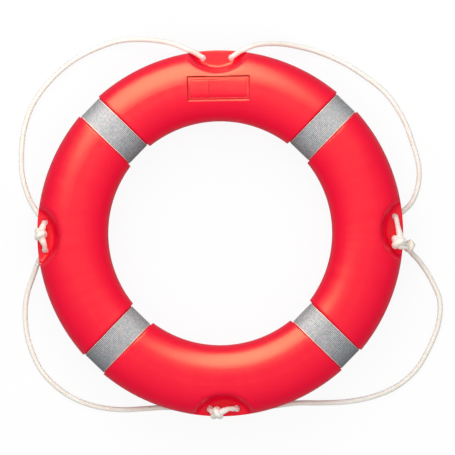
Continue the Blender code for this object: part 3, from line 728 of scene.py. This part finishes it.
def lay_rope():
    """Samples the closed rope, carries one frame and one braid round it, and cuts it into its stretches."""
    parts = []
    for _, route, other_way in STRETCHES:
        rows = even_rows(smooth_path(route), RING_STEP)
        parts.append(rows[::-1] if other_way else rows)
    whole = np.vstack([rows[:-1] for rows in parts])
    sides, ups = carried_sides(whole[:, :3])
    closed, sides, ups = (np.vstack([values, values[:1]]) for values in (whole, sides, ups))
    run = distance_along(closed)
    crossings = round(run[-1] / PLAIT_LENGTH / 4) * 4
    run = run * (crossings * PLAIT_LENGTH / run[-1])
    finish = rope_material()
    made, start = {}, 0
    for (node, _, _), rows in zip(STRETCHES, parts):
        part = slice(start, start + len(rows))
        piece = rope_piece(node, closed[part], sides[part], ups[part], run[part], finish)
        made[node] = piece, closed[part]
        start += len(rows) - 1
    return made


ROPE = lay_rope()


# The shell


def outline_share(other):
    """A point's share of one half-axis of the section, from its share of the other: (1 - other^p)^(1/p)."""
    return (1 - np.clip(np.abs(other), 0, 1) ** SECTION_FULLNESS) ** (1 / SECTION_FULLNESS)


def rise_at(radius):
    """The surface's height over the mid-plane, cut off flat at the land."""
    across = (radius - SECTION_RADIUS) / SECTION_HALF_WIDTH
    return np.minimum(SECTION_TALL * outline_share(across), MID_HEIGHT)


def outer_radius_at(rise):
    """The shell's outer radius at a height over its mid-plane."""
    return SECTION_RADIUS + SECTION_HALF_WIDTH * outline_share(rise / SECTION_TALL)


def section_normal(radius, rise):
    """The outline's normal (out, up): the gradient of across^p + up^p, and straight up on the land."""
    p = SECTION_FULLNESS
    across = (radius - SECTION_RADIUS) / SECTION_HALF_WIDTH
    out = np.sign(across) * np.abs(across) ** (p - 1) / SECTION_HALF_WIDTH
    up = np.abs(rise / SECTION_TALL) ** (p - 1) / SECTION_TALL
    on_land = np.abs(radius - SECTION_RADIUS) < LAND_WIDTH / 2 + 1e-6
    out = np.where(on_land, 0.0, out)
    size = np.hypot(out, up)
    return out / size, up / size


def side_rows(first, last, count, sign):
    """Radius and rise of section points whose normals turn evenly, given as angles over the horizon."""
    p = SECTION_FULLNESS
    a = np.radians(np.linspace(first, last, count))
    across = (SECTION_HALF_WIDTH * np.cos(a)) ** (p / (p - 1))
    along = (SECTION_TALL * np.sin(a)) ** (p / (p - 1))
    out = SECTION_HALF_WIDTH * (across / (across + along)) ** (1 / p)
    up = SECTION_TALL * (along / (across + along)) ** (1 / p)
    return SECTION_RADIUS + sign * out, up


def mirrored(places):
    """The places on both sides of a middle, and the middle, in order."""
    return sorted([-v for v in places] + [0.0] + list(places))


def column_table(skin, inset):
    """The grid's columns round the ring, more of them on the skin.

    Each column is a row of five numbers: its zone's angle, its place across the zone, the share of a
    pocket's edge and of a groove's edge in its angle, and its zone.
    """
    wall = GROOVE_WALL[:: 1 if skin else 2] + inset
    groove = mirrored([0.009, 0.018, wall[0] - 0.0015, *wall, GROOVE_ZONE])
    stretches = zip(POCKET_COLUMNS, POCKET_COUNTS[skin])
    plain = mirrored([v for ends, count in stretches for v in np.linspace(*ends, count)])
    between = np.linspace(0, 1, BETWEEN_COUNTS[skin])[1:-1]
    table = []
    for side, angle in POCKET_ANGLES.items():
        lines = plain
        if side == "top" and skin:
            steps = round_edges([-x for x in PLATE_X], PLATE_WALL)
            steps += round_edges([-x for x in FIELD_LINES_X], FIELD_LINE_HALF)
            lines = sorted(steps + [v for v in plain if min(abs(v - step) for step in steps) > COLUMN_GAP])
        table += [(angle, v, 0, 0, IN_POCKET) for v in lines]
        table += [(angle + TO_TAPE * f, 0, 1 - f, -f, BETWEEN) for f in between]
        table += [(angle + TO_TAPE, v, 0, 0, IN_GROOVE) for v in groove]
        table += [(angle + TO_TAPE + TO_TAPE * f, 0, -f, 1 - f, BETWEEN) for f in between]
    return np.array(table, float)


def column_angle(columns, radius):
    """The angle round the ring at a radius: a zone reaches arcsin(its half width / radius) each way."""
    zone_angle, _, pocket_part, groove_part, _ = columns.T[:, None, :]
    angle = np.radians(zone_angle) + pocket_part * np.arcsin(POCKET_ZONE / radius)
    return angle + groove_part * np.arcsin(GROOVE_ZONE / radius)


def sunk_in_groove(local, z, radius, rise, columns, inset=0.0):
    """In a groove the reach and height blend to the section's point, drawn in by the groove's depth."""
    _, across, _, _, zone = columns.T[:, None, :]
    out, up = section_normal(radius, rise)
    deep = np.interp(np.abs(across), GROOVE_WALL + inset, GROOVE_WALL_SHARE) * (zone == IN_GROOVE)
    depth = inset + GROOVE_DEPTH
    return local + deep * (radius - depth * out - local), z + deep * (rise - depth * up - z)


def near_side(radius, across):
    """The near side of an upright circle beyond the rim: axis - sqrt(radius^2 - across^2)."""
    return POCKET_AXIS - np.sqrt(np.maximum(radius**2 - across**2, 0))


def pocket_wall(rise, across, growth):
    """Where a pocket's wall stands, measured out along the pocket's own direction.

    The wall is the near side of a cone: its radius grows with the height over the web.
    """
    return near_side(POCKET_RADIUS + growth + (np.abs(rise) - WEB_HALF) * POCKET_DRAFT, across)


def soft_least(a, b, reach):
    """The smaller of two values, rounded off where they are closer than reach."""
    h = np.maximum(reach - np.abs(a - b), 0) / reach
    return np.minimum(a, b) - h * h * reach / 4


def box_share(x, y, xs, ys, half):
    """1 inside a rectangle, 0 outside, with soft edges."""
    inside = 1.0
    for value, (low, high) in ((x, xs), (y, ys)):
        inside = inside * smooth_step(value, low - half, low + half)
        inside = inside * (1 - smooth_step(value, high - half, high + half))
    return inside


def line_share(value, line, half=FIELD_LINE_HALF):
    """1 in the middle of a line, 0 beside it."""
    return np.interp(np.abs(value - line), (half / 3, half), (1.0, 0.0))


def engraved(x, y):
    """1 in the middle of the plate's engraved lines, 0 beside them."""
    lines_x = np.maximum.reduce([line_share(x, line) for line in FIELD_LINES_X])
    lines_y = np.maximum.reduce([line_share(y, line) for line in FIELD_LINES_Y])
    (left, _, right), (low, high), half = FIELD_LINES_X, FIELD_LINES_Y, FIELD_LINE_HALF
    inside = (x > left - half) & (x < right + half) & (y > low - half) & (y < high + half)
    return np.maximum(lines_x, lines_y) * inside


def plate_relief(x, y):
    """How deep the plate's recess lies: deeper towards the rim, and deeper along its engraved lines."""
    depth = np.interp(y, PLATE_Y, PLATE_DEPTHS) * box_share(x, y, PLATE_X, PLATE_Y, PLATE_WALL)
    return depth + FIELD_LINE_DEPTH * engraved(x, y)


def backing_relief(x, y):
    """How deep the hollow and the foam sink behind the plate."""
    depth = np.interp(y, PLATE_Y, PLATE_DEPTHS) + FIELD_LINE_DEPTH
    return depth * box_share(x, y, BACKING_X, BACKING_Y, BACKING_EDGE)


def plate_painted_shade(x, y):
    """How dark the plate's painted shade is: most on the recess's upper and left walls and in its crease."""
    beside = (x > PLATE_X[0] - PLATE_WALL / 2) & (x < PLATE_X[1] + PLATE_WALL / 2)
    above = (y > PLATE_Y[0]) & (y < PLATE_Y[1] + PLATE_WALL / 2)
    shaded = {
        "upper": line_share(y, PLATE_Y[1], PLATE_WALL) * beside,
        "left": line_share(x, PLATE_X[0], PLATE_WALL) * above,
        "right": line_share(x, PLATE_X[1], PLATE_WALL) * above,
        "lower": line_share(y, PLATE_Y[0], PLATE_WALL) * beside,
        "crease": line_share(y, PLATE_CREASE) * beside,
        "lines": engraved(x, y),
    }
    return np.maximum.reduce([PLATE_PAINTED_SHADE[key] * share for key, share in shaded.items()])


def half_shell(columns, inset, front):
    """One face of the shell as a grid of (x, y, rise, painted shade), from the inner mid-plane to the outer
    one.

    Rows are the section's points, drawn in by the inset. Columns of a zone run straight at a fixed place
    across it. A pocket takes the smaller of the dome's and its wall's reach, a groove blends to the
    straight inset section, and the plate's rows run straight across and sink by its relief. With no
    inset it is the skin: further rows run down the pocket's fillet, over the web and round its edge.
    """
    skin = inset == 0
    zone_angle, across, _, _, zone = columns.T[:, None, :]
    radius, rise = face_rows(("front" if front else "back") if skin else "hollow")
    normal_out, normal_up = section_normal(radius, rise)
    r = (radius - inset * normal_out) * np.ones(across.shape)
    z = (rise - inset * normal_up) * np.ones(across.shape)
    local = np.sqrt(r**2 - across**2)
    top = (zone == IN_POCKET) & (zone_angle == POCKET_ANGLES["top"])
    # Painted shade: darker along the foot of each recess's wall
    recess_foot_shade = np.interp(np.abs(across), *RECESS_PAINTED_SHADE) * (zone == IN_GROOVE)
    relief, painted_shade = 0.0, recess_foot_shade * np.ones(z.shape)
    if front and skin:
        turn_in, straight_in, straight_out, turn_out = PLATE_ROWS
        share = smooth_step(radius, turn_in, straight_in) * (1 - smooth_step(radius, straight_out, turn_out))
        share = share * (1 - smooth_step(np.abs(across), PLATE_REACH, POCKET_ZONE)) * top
        local = local + share * (radius - local)
        straight = (share > 0) & (radius > turn_in) & (radius < turn_out)
        z = np.where(straight, rise_at(np.hypot(local, across)), z)
        relief = plate_relief(-across, local) * top
        # Painted shade on the plate's walls, crease and engraved lines
        painted_shade = np.maximum(painted_shade, plate_painted_shade(-across, local) * top)
    elif front:
        relief = backing_relief(-across, local) * top
    wall = pocket_wall(z, across, inset)
    local = np.where(zone == IN_POCKET, soft_least(local, wall, POCKET_LIP), local)
    local, z = sunk_in_groove(local, z - relief, radius, rise, columns, inset)
    points = to_ring(np.where(zone == BETWEEN, r, local), across, z, column_angle(columns, r))
    if skin:
        web = web_rows(columns)
        points = np.concatenate([points, web])
        painted_shade = np.concatenate([painted_shade, recess_foot_shade * np.ones(web.shape[:2])])
    return np.concatenate([points, painted_shade[..., None]], axis=-1)


def to_ring(local, across, z, angle):
    """Points from their reach along, and place across, a direction at an angle round the ring."""
    cos, sin = np.cos(angle), np.sin(angle)
    return np.stack([local * cos - across * sin, local * sin + across * cos, z], axis=-1)


def web_rows(columns):
    """The rows below the foot of the pocket's wall.

    In a pocket: the fillet's arc from the wall to the web, the flat web, and the web's rounded rim edge
    down to the mid-plane. Elsewhere: the dome between the same heights. The two blend at the pocket's
    ends.
    """
    _, across, _, _, zone = columns.T[:, None, :]
    ones = np.ones(across.shape)
    turns = np.linspace(-POCKET_LEAN, -math.pi / 2, 7)[1:, None]
    run_out = POCKET_FILLET * math.tan((math.pi / 2 - POCKET_LEAN) / 2)
    radius = POCKET_RADIUS - run_out + POCKET_FILLET * np.cos(turns)
    fillet_z = WEB_HALF + POCKET_FILLET * (1 + np.sin(turns)) * ones
    rim = np.sqrt(RIM**2 - across**2)
    fillet = np.minimum(near_side(radius, across), rim - WEB_EDGE - WEB_SLACK)
    web = fillet[-1:] + np.linspace(0, 1, 7)[1:, None] * (rim - WEB_EDGE - fillet[-1:])
    edge_turn = np.linspace(math.pi / 2, 0, 6)[1:, None]
    edge = rim - WEB_EDGE * (1 - np.cos(edge_turn))
    edge_z = (WEB_HALF - WEB_EDGE * (1 - np.sin(edge_turn))) * ones
    inside = np.vstack([fillet, web, edge, rim])
    inside_z = np.vstack([fillet_z, WEB_HALF + 0 * web, edge_z, 0 * rim])
    outside_z = np.linspace(WALL_FOOT, 0, len(inside) + 1)[1:, None] * ones
    outside_r = outer_radius_at(outside_z)
    outside = np.sqrt(outside_r**2 - across**2)
    share = (1 - smooth_step(np.abs(across), *WEB_ENDS)) * (zone == IN_POCKET)
    local, z = outside + share * (inside - outside), outside_z + share * (inside_z - outside_z)
    local, z = sunk_in_groove(local, z, outside_r, outside_z, columns)
    return to_ring(np.where(zone == BETWEEN, outside_r, local), across, z, column_angle(columns, outside_r))


def face_rows(kind):
    """Radius and rise of the section's points on one face, from the inner mid-plane to the wall's foot."""
    inner_count, plain_count, outer_count = FACE_COUNTS[kind]
    inner_r, inner_z = side_rows(0, SLOPE_END, inner_count, -1)
    lines = np.linspace(FRONT_ROWS[0], OUTER_ROWS[1], plain_count)
    if kind == "front":
        lines = [*FRONT_ROWS, *np.linspace(*OUTER_ROWS), *round_edges(PLATE_Y, PLATE_WALL)]
        lines += round_edges((PLATE_CREASE, *FIELD_LINES_Y), FIELD_LINE_HALF)
    lines = np.sort(lines)
    top_z = rise_at(lines)
    drop = np.linspace(top_z[-1], WALL_FOOT, outer_count)[1:]
    radius = np.concatenate([inner_r, lines, outer_radius_at(drop)])
    return radius[:, None], np.concatenate([inner_z, top_z, drop])[:, None]


def shell_grid(inset):
    """A closed grid of the skin, or with an inset of the hollow or the foam.

    It covers the front from the inside out, and then the back from the outside in.
    """
    skin = inset == 0
    columns = column_table(skin, inset)
    front = half_shell(columns, inset, front=True)
    back = half_shell(columns, inset, front=False)[::-1] * [1, 1, -1, 1]
    points = np.concatenate([front, back[1:-1] if skin else back[:-1]])
    points[..., 2] += MID_HEIGHT
    quads = grid_quads(*points.shape[:2], True, True)
    points = points.reshape(-1, 4)
    return points[:, :3], quads, points[:, 3]


def turned_solid(profile, middle, sides=48):
    """A closed turned solid: a profile of (radius, height), from its lowest middle to its highest one."""
    radius, height = np.array(profile, float).T[:, :, None]
    turns = circle(sides)
    x, y = middle[0] + radius * np.cos(turns), middle[1] + radius * np.sin(turns)
    points = np.stack([x, y, height * np.ones(sides)], axis=-1)
    points = np.vstack([points[1:-1].reshape(-1, 3), points[[0, -1], 0]])
    return points, tube_quads(len(radius) - 2, sides)


def cut_away(piece, solids, finish):
    """Takes closed solids out of a piece."""
    starts = np.cumsum([0] + [len(points) for points, _ in solids])
    points = np.vstack([points for points, _ in solids])
    quads = np.vstack([quads + start for (_, quads), start in zip(solids, starts)])
    cutter = put_mesh("cutters", points, quads, finish)
    cut = piece.modifiers.new("cut", "BOOLEAN")
    cut.operation, cut.solver, cut.object = "DIFFERENCE", "EXACT", cutter
    bpy.context.view_layer.update()
    data = bpy.data.meshes.new_from_object(piece.evaluated_get(bpy.context.evaluated_depsgraph_get()))
    piece.modifiers.clear()
    piece.data = data
    bpy.data.objects.remove(cutter, do_unlink=True)


def rope_holes():
    """A cutter through each web for each rope hole, wider at its two rounded mouths."""
    half = [(0, HOLE_MOUTH[0][1])] + [(HOLE_RADIUS + wider, z) for wider, z in HOLE_MOUTH]
    profile = [(r, MID_HEIGHT - z) for r, z in half] + [(r, MID_HEIGHT + z) for r, z in half[::-1]]
    places = [by_pocket(side, along, -HOLE_INSET, 0) for side in POCKET_ANGLES for along in (BEFORE, AFTER)]
    return [turned_solid(profile, place, 40) for place in places]


def plug_middle(angle):
    """The middle of a plug, at an angle round the back's land."""
    return turned_by(angle)[0] * SECTION_RADIUS


def inner_form(name, inset, finish):
    """The skin's form drawn in by an inset, less a boss round each plug: the hollow, or the foam."""
    points, quads, _ = shell_grid(inset)
    made = put_mesh(name, points, quads, finish)
    bosses = []
    for angle, head, _ in PLUGS.values():
        reach, top = head + PLUG_CLEARANCE + inset, SEAT_HEIGHT + inset
        profile = [(0, -OVERSHOOT), (reach, -OVERSHOOT), (reach, top), (0, top)]
        bosses.append(turned_solid(profile, plug_middle(angle)))
    cut_away(made, bosses, finish)
    return made


def ring_shell(finish):
    """The shell: its skin, less its hollow, the rope holes and the plugs' seats."""
    # The painted shade goes with the points as a value
    points, quads, painted_shade = shell_grid(0.0)
    piece = put_mesh("ring_shell_moulding", points, quads, finish, values={"painted_shade": painted_shade})
    seats = []
    for angle, head, stem in PLUGS.values():
        head, stem = head + PLUG_CLEARANCE, stem + PLUG_CLEARANCE
        profile = [(0, -OVERSHOOT), (head, -OVERSHOOT), (head, SEAT_HEIGHT), (stem, SEAT_HEIGHT)]
        seats.append(turned_solid(profile + [(stem, SEAT_TOP), (0, SEAT_TOP)], plug_middle(angle)))
    cut_away(piece, rope_holes() + seats, finish)
    hollow = inner_form("hollow", SHELL_WALL, finish)
    hollow.data.flip_normals()
    with bpy.context.temp_override(active_object=piece, selected_editable_objects=[piece, hollow]):
        bpy.ops.object.join()
    smooth(piece.data, SHELL_CREASE)
    dress(piece, "ring_shell")


def shell_material():
    """Rotationally moulded polyethylene: saturated orange-red and satin, with a faint orange peel.

    Fine rubbing marks run round the section, so the gloss breaks up into streaks that cross the ring. Painted
    shade makes it dark brown and dull along the foot of the recesses' walls and on the plate's walls, crease
    and lines.
    """
    made, tree = new_material("orange_red_moulded_polyethylene")
    where = place_on_object(tree)
    colour = ramp(tree, noise(tree, where, 14.0, 3.0), (0.3, "#fa093a"), (0.7, "#fe0c3b"))
    # A metre along the ring counts as one unit, and a metre round the section as a tenth of one
    flat = maths(tree, "MULTIPLY", where, (1, 1, 0), kind="VectorMath")
    reach = add_node(tree, "VectorMath", {0: flat}, operation="LENGTH")["Value"]
    heading = maths(tree, "NORMALIZE", flat, kind="VectorMath")
    along = add_node(tree, "VectorMath", {0: heading, "Scale": SECTION_RADIUS}, operation="SCALE")[0]
    height = parts_of(tree, where)["Z"]
    slow = maths(tree, "MULTIPLY", maths(tree, "SUBTRACT", reach, height), 0.1)
    lift = add_node(tree, "CombineXYZ", {"Z": slow})[0]
    marks = noise(tree, maths(tree, "ADD", along, lift, kind="VectorMath"), 120.0)
    rubbed = bump(tree, marks, 0.5, 0.0002)
    rough = ranged(tree, marks, 0.4, 0.6, 0.32, 0.37)
    # Painted shade: where this value is high, the colour turns dark brown and the gloss is dulled away
    painted_shade = add_node(tree, "Attribute", attribute_name="painted_shade")["Fac"]
    return with_shader(made, {
        "Base Color": mixed_colour(tree, painted_shade, colour, linear("#86180f")),
        "Roughness": add_node(tree, "Mix", {"Factor": painted_shade, 2: rough, 3: 1.0})[0],
        "Specular IOR Level": 0.2,
        "Specular Tint": (1.0, 0.8, 0.38, 1.0),
        "Normal": bump(tree, noise(tree, where, 420.0), 0.10, 0.0002, Normal=rubbed),
    })


# Tapes


def tape_material():
    """Retroreflective tape: glass beads behind a clear film in small sealed cells, with smooth pale borders.

    The real cells are 2 to 3 mm across, with a pearly grain. Here they are squares of 2 mm that stand on
    their corners, light and dark by turns, each also of its own shade.
    """
    made, tree = new_material("silver_retroreflective_tape")
    uv = add_node(tree, "UVMap", uv_map="along_and_across")["UV"]
    from_middle = maths(tree, "ABSOLUTE", parts_of(tree, uv)["Y"])
    border = ranged(tree, from_middle, *TAPE_BORDER)
    on_corner = {"Rotation": (0, 0, math.radians(45)), "Scale": (500, 500, 500)}
    squares = add_node(tree, "Mapping", {"Vector": uv, **on_corner})["Vector"]
    cell = maths(tree, "FLOOR", squares, kind="VectorMath")
    place = parts_of(tree, cell)
    by_turns = maths(tree, "FLOORED_MODULO", maths(tree, "ADD", place["X"], place["Y"]), 2.0)
    own = add_node(tree, "TexWhiteNoise", {"Vector": cell})
    grain = add_node(tree, "Mix", {"Factor": 0.4, 2: by_turns, 3: own["Value"]})[0]
    shade = ramp(tree, grain, (0.0, "#4e5b67"), (1.0, "#aaaaac"))
    beads = mixed_colour(tree, 0.07, shade, own["Color"])
    return with_shader(made, {
        "Base Color": mixed_colour(tree, border, beads, linear("#dccbc0")),
        "Metallic": 0.12,
        "Roughness": 0.68,
        "Specular IOR Level": 0.45,
        "Normal": bump(tree, grain, 0.3, 0.0001),
    })


def reflective_tape(corner, finish):
    """A strip wound once round the section: a rounded flat profile carried along the inset section.

    It starts and ends on the back, where its last part lies over its start.
    """
    angle = math.radians(TAPE_ANGLES[corner])
    inner_r, inner_z = side_rows(0, TAPE_SLOPE_END, 44, -1)
    land = np.linspace(SECTION_RADIUS - LAND_WIDTH / 2, SECTION_RADIUS + LAND_WIDTH / 2, 9)[1:-1]
    outer_r, outer_z = side_rows(TAPE_SLOPE_END, 0, 44, 1)
    half_r = np.concatenate([inner_r, land, outer_r])
    half_z = np.concatenate([inner_z, np.full(len(land), MID_HEIGHT), outer_z])
    once_r = np.concatenate([half_r, half_r[::-1][1:-1]])
    once_z = np.concatenate([half_z, -half_z[::-1][1:-1]])
    count = len(once_r)
    start = int(np.argmin(np.hypot(once_r - TAPE_START, once_z + MID_HEIGHT)))
    order = (start - np.arange(count + TAPE_LAP)) % count
    radius, rise = once_r[order], once_z[order]
    out, up = section_normal(radius, rise)
    up = np.sign(rise) * up
    lap = smooth_step(np.arange(len(order)), count - 4, count - 1)
    lift = TAPE_INSET - lap * (TAPE_THICKNESS + TAPE_LAP_GAP)
    centre_r, centre_z = radius - lift * out, rise - lift * up + MID_HEIGHT
    half, thick, edge = TAPE_WIDTH / 2, TAPE_THICKNESS, TAPE_ROUNDING
    sides = [-half, edge - half, half - edge, half]
    across = np.concatenate([np.linspace(half - edge, edge - half, 22), sides])
    over = np.concatenate([np.full(22, thick), [thick / 2, 0.0, 0.0, thick / 2]])
    x = centre_r[:, None] + over * out[:, None]
    z = centre_z[:, None] + over * up[:, None]
    ends = [0, -1]
    middle_r, middle_z = centre_r[ends] + thick / 2 * out[ends], centre_z[ends] + thick / 2 * up[ends]
    points = np.vstack([to_ring(x, across, z, angle).reshape(-1, 3), to_ring(middle_r, 0.0, middle_z, angle)])
    uv = tube_map(distance_along(np.column_stack([centre_r, centre_z])), np.append(across, across[0]))
    uv = uv.reshape(-1, 4, 2)[:, ::-1].reshape(-1, 2)
    piece = put_mesh(f"tape_{corner}", points, tube_quads(*x.shape)[:, ::-1], finish, uv, crease=50)
    dress(piece, f"reflective_tape_{corner}")


# Plugs and foam


def plug_material():
    """Injection-moulded polyethylene: a deeper, duller red than the shell, with a fine matte grain."""
    made, tree = new_material("red_polyethylene_plug")
    where = place_on_object(tree)
    # Spark-eroded mould grain, drawn at 0.8 mm
    grain = noise(tree, where, 1250.0)
    colour = ramp(tree, grain, (0.3, "#c80a2c"), (0.7, "#de1234"))
    inputs = {"Base Color": colour, "Roughness": 0.5, "Normal": bump(tree, grain, 0.35, 0.0001)}
    return with_shader(made, inputs)


def plug(kind, finish):
    """A stopper, sunk into the back: a dished, chamfered head with a raised rim, and a stem with barbs."""
    angle, head, stem = PLUGS[kind]
    face, back, top = PLUG_SUNK, PLUG_SUNK + PLUG_HEAD, PLUG_SUNK + PLUG_HEAD + PLUG_STEM
    dish, edge = DISH_SHARE * head, PLUG_EDGE
    profile = [(0, face + DISH_DEPTH), (dish - 0.0014, face + DISH_DEPTH), (dish - 0.0004, face + 0.0006)]
    profile += [(dish, face + 0.0001), (dish + 0.0003, face), (head - edge, face)]
    profile += [(head - edge * 0.3, face + edge * 0.3), (head, face + edge)]
    profile += [(head, back - 0.0002), (head - 0.0002, back), (stem - 0.0005, back)]
    for barb in BARBS:
        foot = back + barb * (top - back)
        profile += [(stem - 0.0005, foot - 0.0008), (stem, foot - 0.0006), (stem - 0.0007, foot + 0.0010)]
    profile += [(stem - 0.0007, top - 0.0012), (stem - 0.0019, top), (0, top)]
    points, quads = turned_solid(profile, plug_middle(angle), 64)
    dress(put_mesh(f"plug_{kind}", points, quads, finish, crease=35), f"{kind}_plug")


def foam_material():
    """Cellular polyurethane foam: pale yellow, matte, full of small cells, here drawn coarser at 2 mm."""
    made, tree = new_material("polyurethane_foam")
    where = place_on_object(tree)
    cells = add_node(tree, "TexVoronoi", {"Vector": where, "Scale": 500.0})["Distance"]
    colour = ramp(tree, cells, (0.0, "#c9ae74"), (0.6, "#ead9a8"))
    inputs = {"Base Color": colour, "Roughness": 0.95, "Normal": bump(tree, cells, 0.6, 0.0008)}
    return with_shader(made, inputs)


def foam_core(finish):
    """The foam that was poured in: it fills the hollow, with a faint gap as in the CAD."""
    piece = inner_form("foam_filling", FOAM_INSET, finish)
    smooth(piece.data, SHELL_CREASE)
    dress(piece, "foam_core")


ring_shell(shell_material())
TAPE_FINISH = tape_material()
for corner_name in TAPE_ANGLES:
    reflective_tape(corner_name, TAPE_FINISH)
PLUG_FINISH = plug_material()
for plug_kind in PLUGS:
    plug(plug_kind, PLUG_FINISH)
foam_core(foam_material())


# Floor and light


def add_stage():
    """A white studio floor with a low white wall far off.

    It shows mostly its own white to the camera, and some of it to glossy and transmission rays. The rest
    is lit, so that the object's shadow stays.
    """
    made, tree = new_material("white_paper")
    ray = add_node(tree, "LightPath")
    # Greyer to all rays but the camera's, so that it throws less light on the object
    paper = mixed_colour(tree, ray["Is Camera Ray"], linear("#969696"), linear("#fafafa"))
    lit = add_node(tree, "BsdfDiffuse", {"Color": paper})["BSDF"]
    white = add_node(tree, "Emission", {"Color": (1.0, 1.0, 1.0, 1.0), "Strength": 1.0})["Emission"]
    mirrored_ray = maths(tree, "MAXIMUM", ray["Is Glossy Ray"], ray["Is Transmission Ray"])
    in_gloss = maths(tree, "MULTIPLY", mirrored_ray, OWN_WHITE_IN_GLOSS)
    seen = maths(tree, "MULTIPLY", ray["Is Camera Ray"], OWN_WHITE_SEEN)
    shader = add_node(tree, "MixShader", {0: maths(tree, "MAXIMUM", seen, in_gloss), 1: lit, 2: white})[0]
    add_node(tree, "OutputMaterial", {"Surface": shader})
    half = FLOOR_HALF
    points = np.array([(-half, -half, 0), (half, -half, 0), (half, half, 0), (-half, half, 0)])
    put_mesh("studio_floor", points, np.array([[0, 1, 2, 3]]), made)
    turns = circle(64)
    ring = np.column_stack([np.cos(turns), np.sin(turns), 0 * turns]) * (half - 1)
    wall = np.vstack([ring, ring + [0, 0, WALL_HEIGHT]])
    put_mesh("studio_wall", wall, grid_quads(2, 64, closed_columns=True)[:, ::-1], made)


def add_area(name, away, size, power):
    """A soft square lamp in a direction from the ring, facing it."""
    lamp = bpy.data.lights.new(name, "AREA")
    lamp.size = size
    lamp.energy = power
    made = add_object(name, lamp)
    away = unit_vector(np.array(away, float))
    made.location = away * LAMP_DISTANCE + [0, 0, MID_HEIGHT]
    made.rotation_euler = (math.acos(away[2]), 0, math.atan2(away[1], away[0]) + math.pi / 2)
    return made


def add_world():
    """A large soft dome: brightest overhead, and dim near the horizon, so that the object's sides darken.

    The object's gloss shows it at about a third of its strength.
    """
    world = bpy.data.worlds.new("studio")
    world.use_nodes = True
    tree = world.node_tree
    tree.nodes.clear()
    direction = add_node(tree, "TexCoord")["Generated"]
    height = parts_of(tree, direction)["Z"]
    dome = ranged(tree, height, 0.0, 1.0, first=0.27)
    gloss_ray = add_node(tree, "LightPath")["Is Glossy Ray"]
    dull = ranged(tree, gloss_ray, 0.0, 1.0, first=1.0, last=0.36)
    strength = maths(tree, "MULTIPLY", dome, dull)
    sky = add_node(tree, "Background", {"Color": (1, 1, 1, 1), "Strength": strength})[0]
    add_node(tree, "OutputWorld", {"Surface": sky})
    bpy.context.scene.world = world


add_stage()
add_area("key", KEY_DIRECTION, size=2.1, power=23.0)
# A second, larger softbox in the key's place gives gloss alone: the plastic's broad sheen without more light
gloss = add_area("gloss", KEY_DIRECTION, size=2.4, power=580.0)
gloss.visible_diffuse = False
gloss.data.color = (1.0, 0.92, 0.82)
add_area("overhead", (0, -0.08, 1), size=2.4, power=8.0).visible_glossy = False
add_world()
bpy.context.scene.view_settings.view_transform = "Standard"
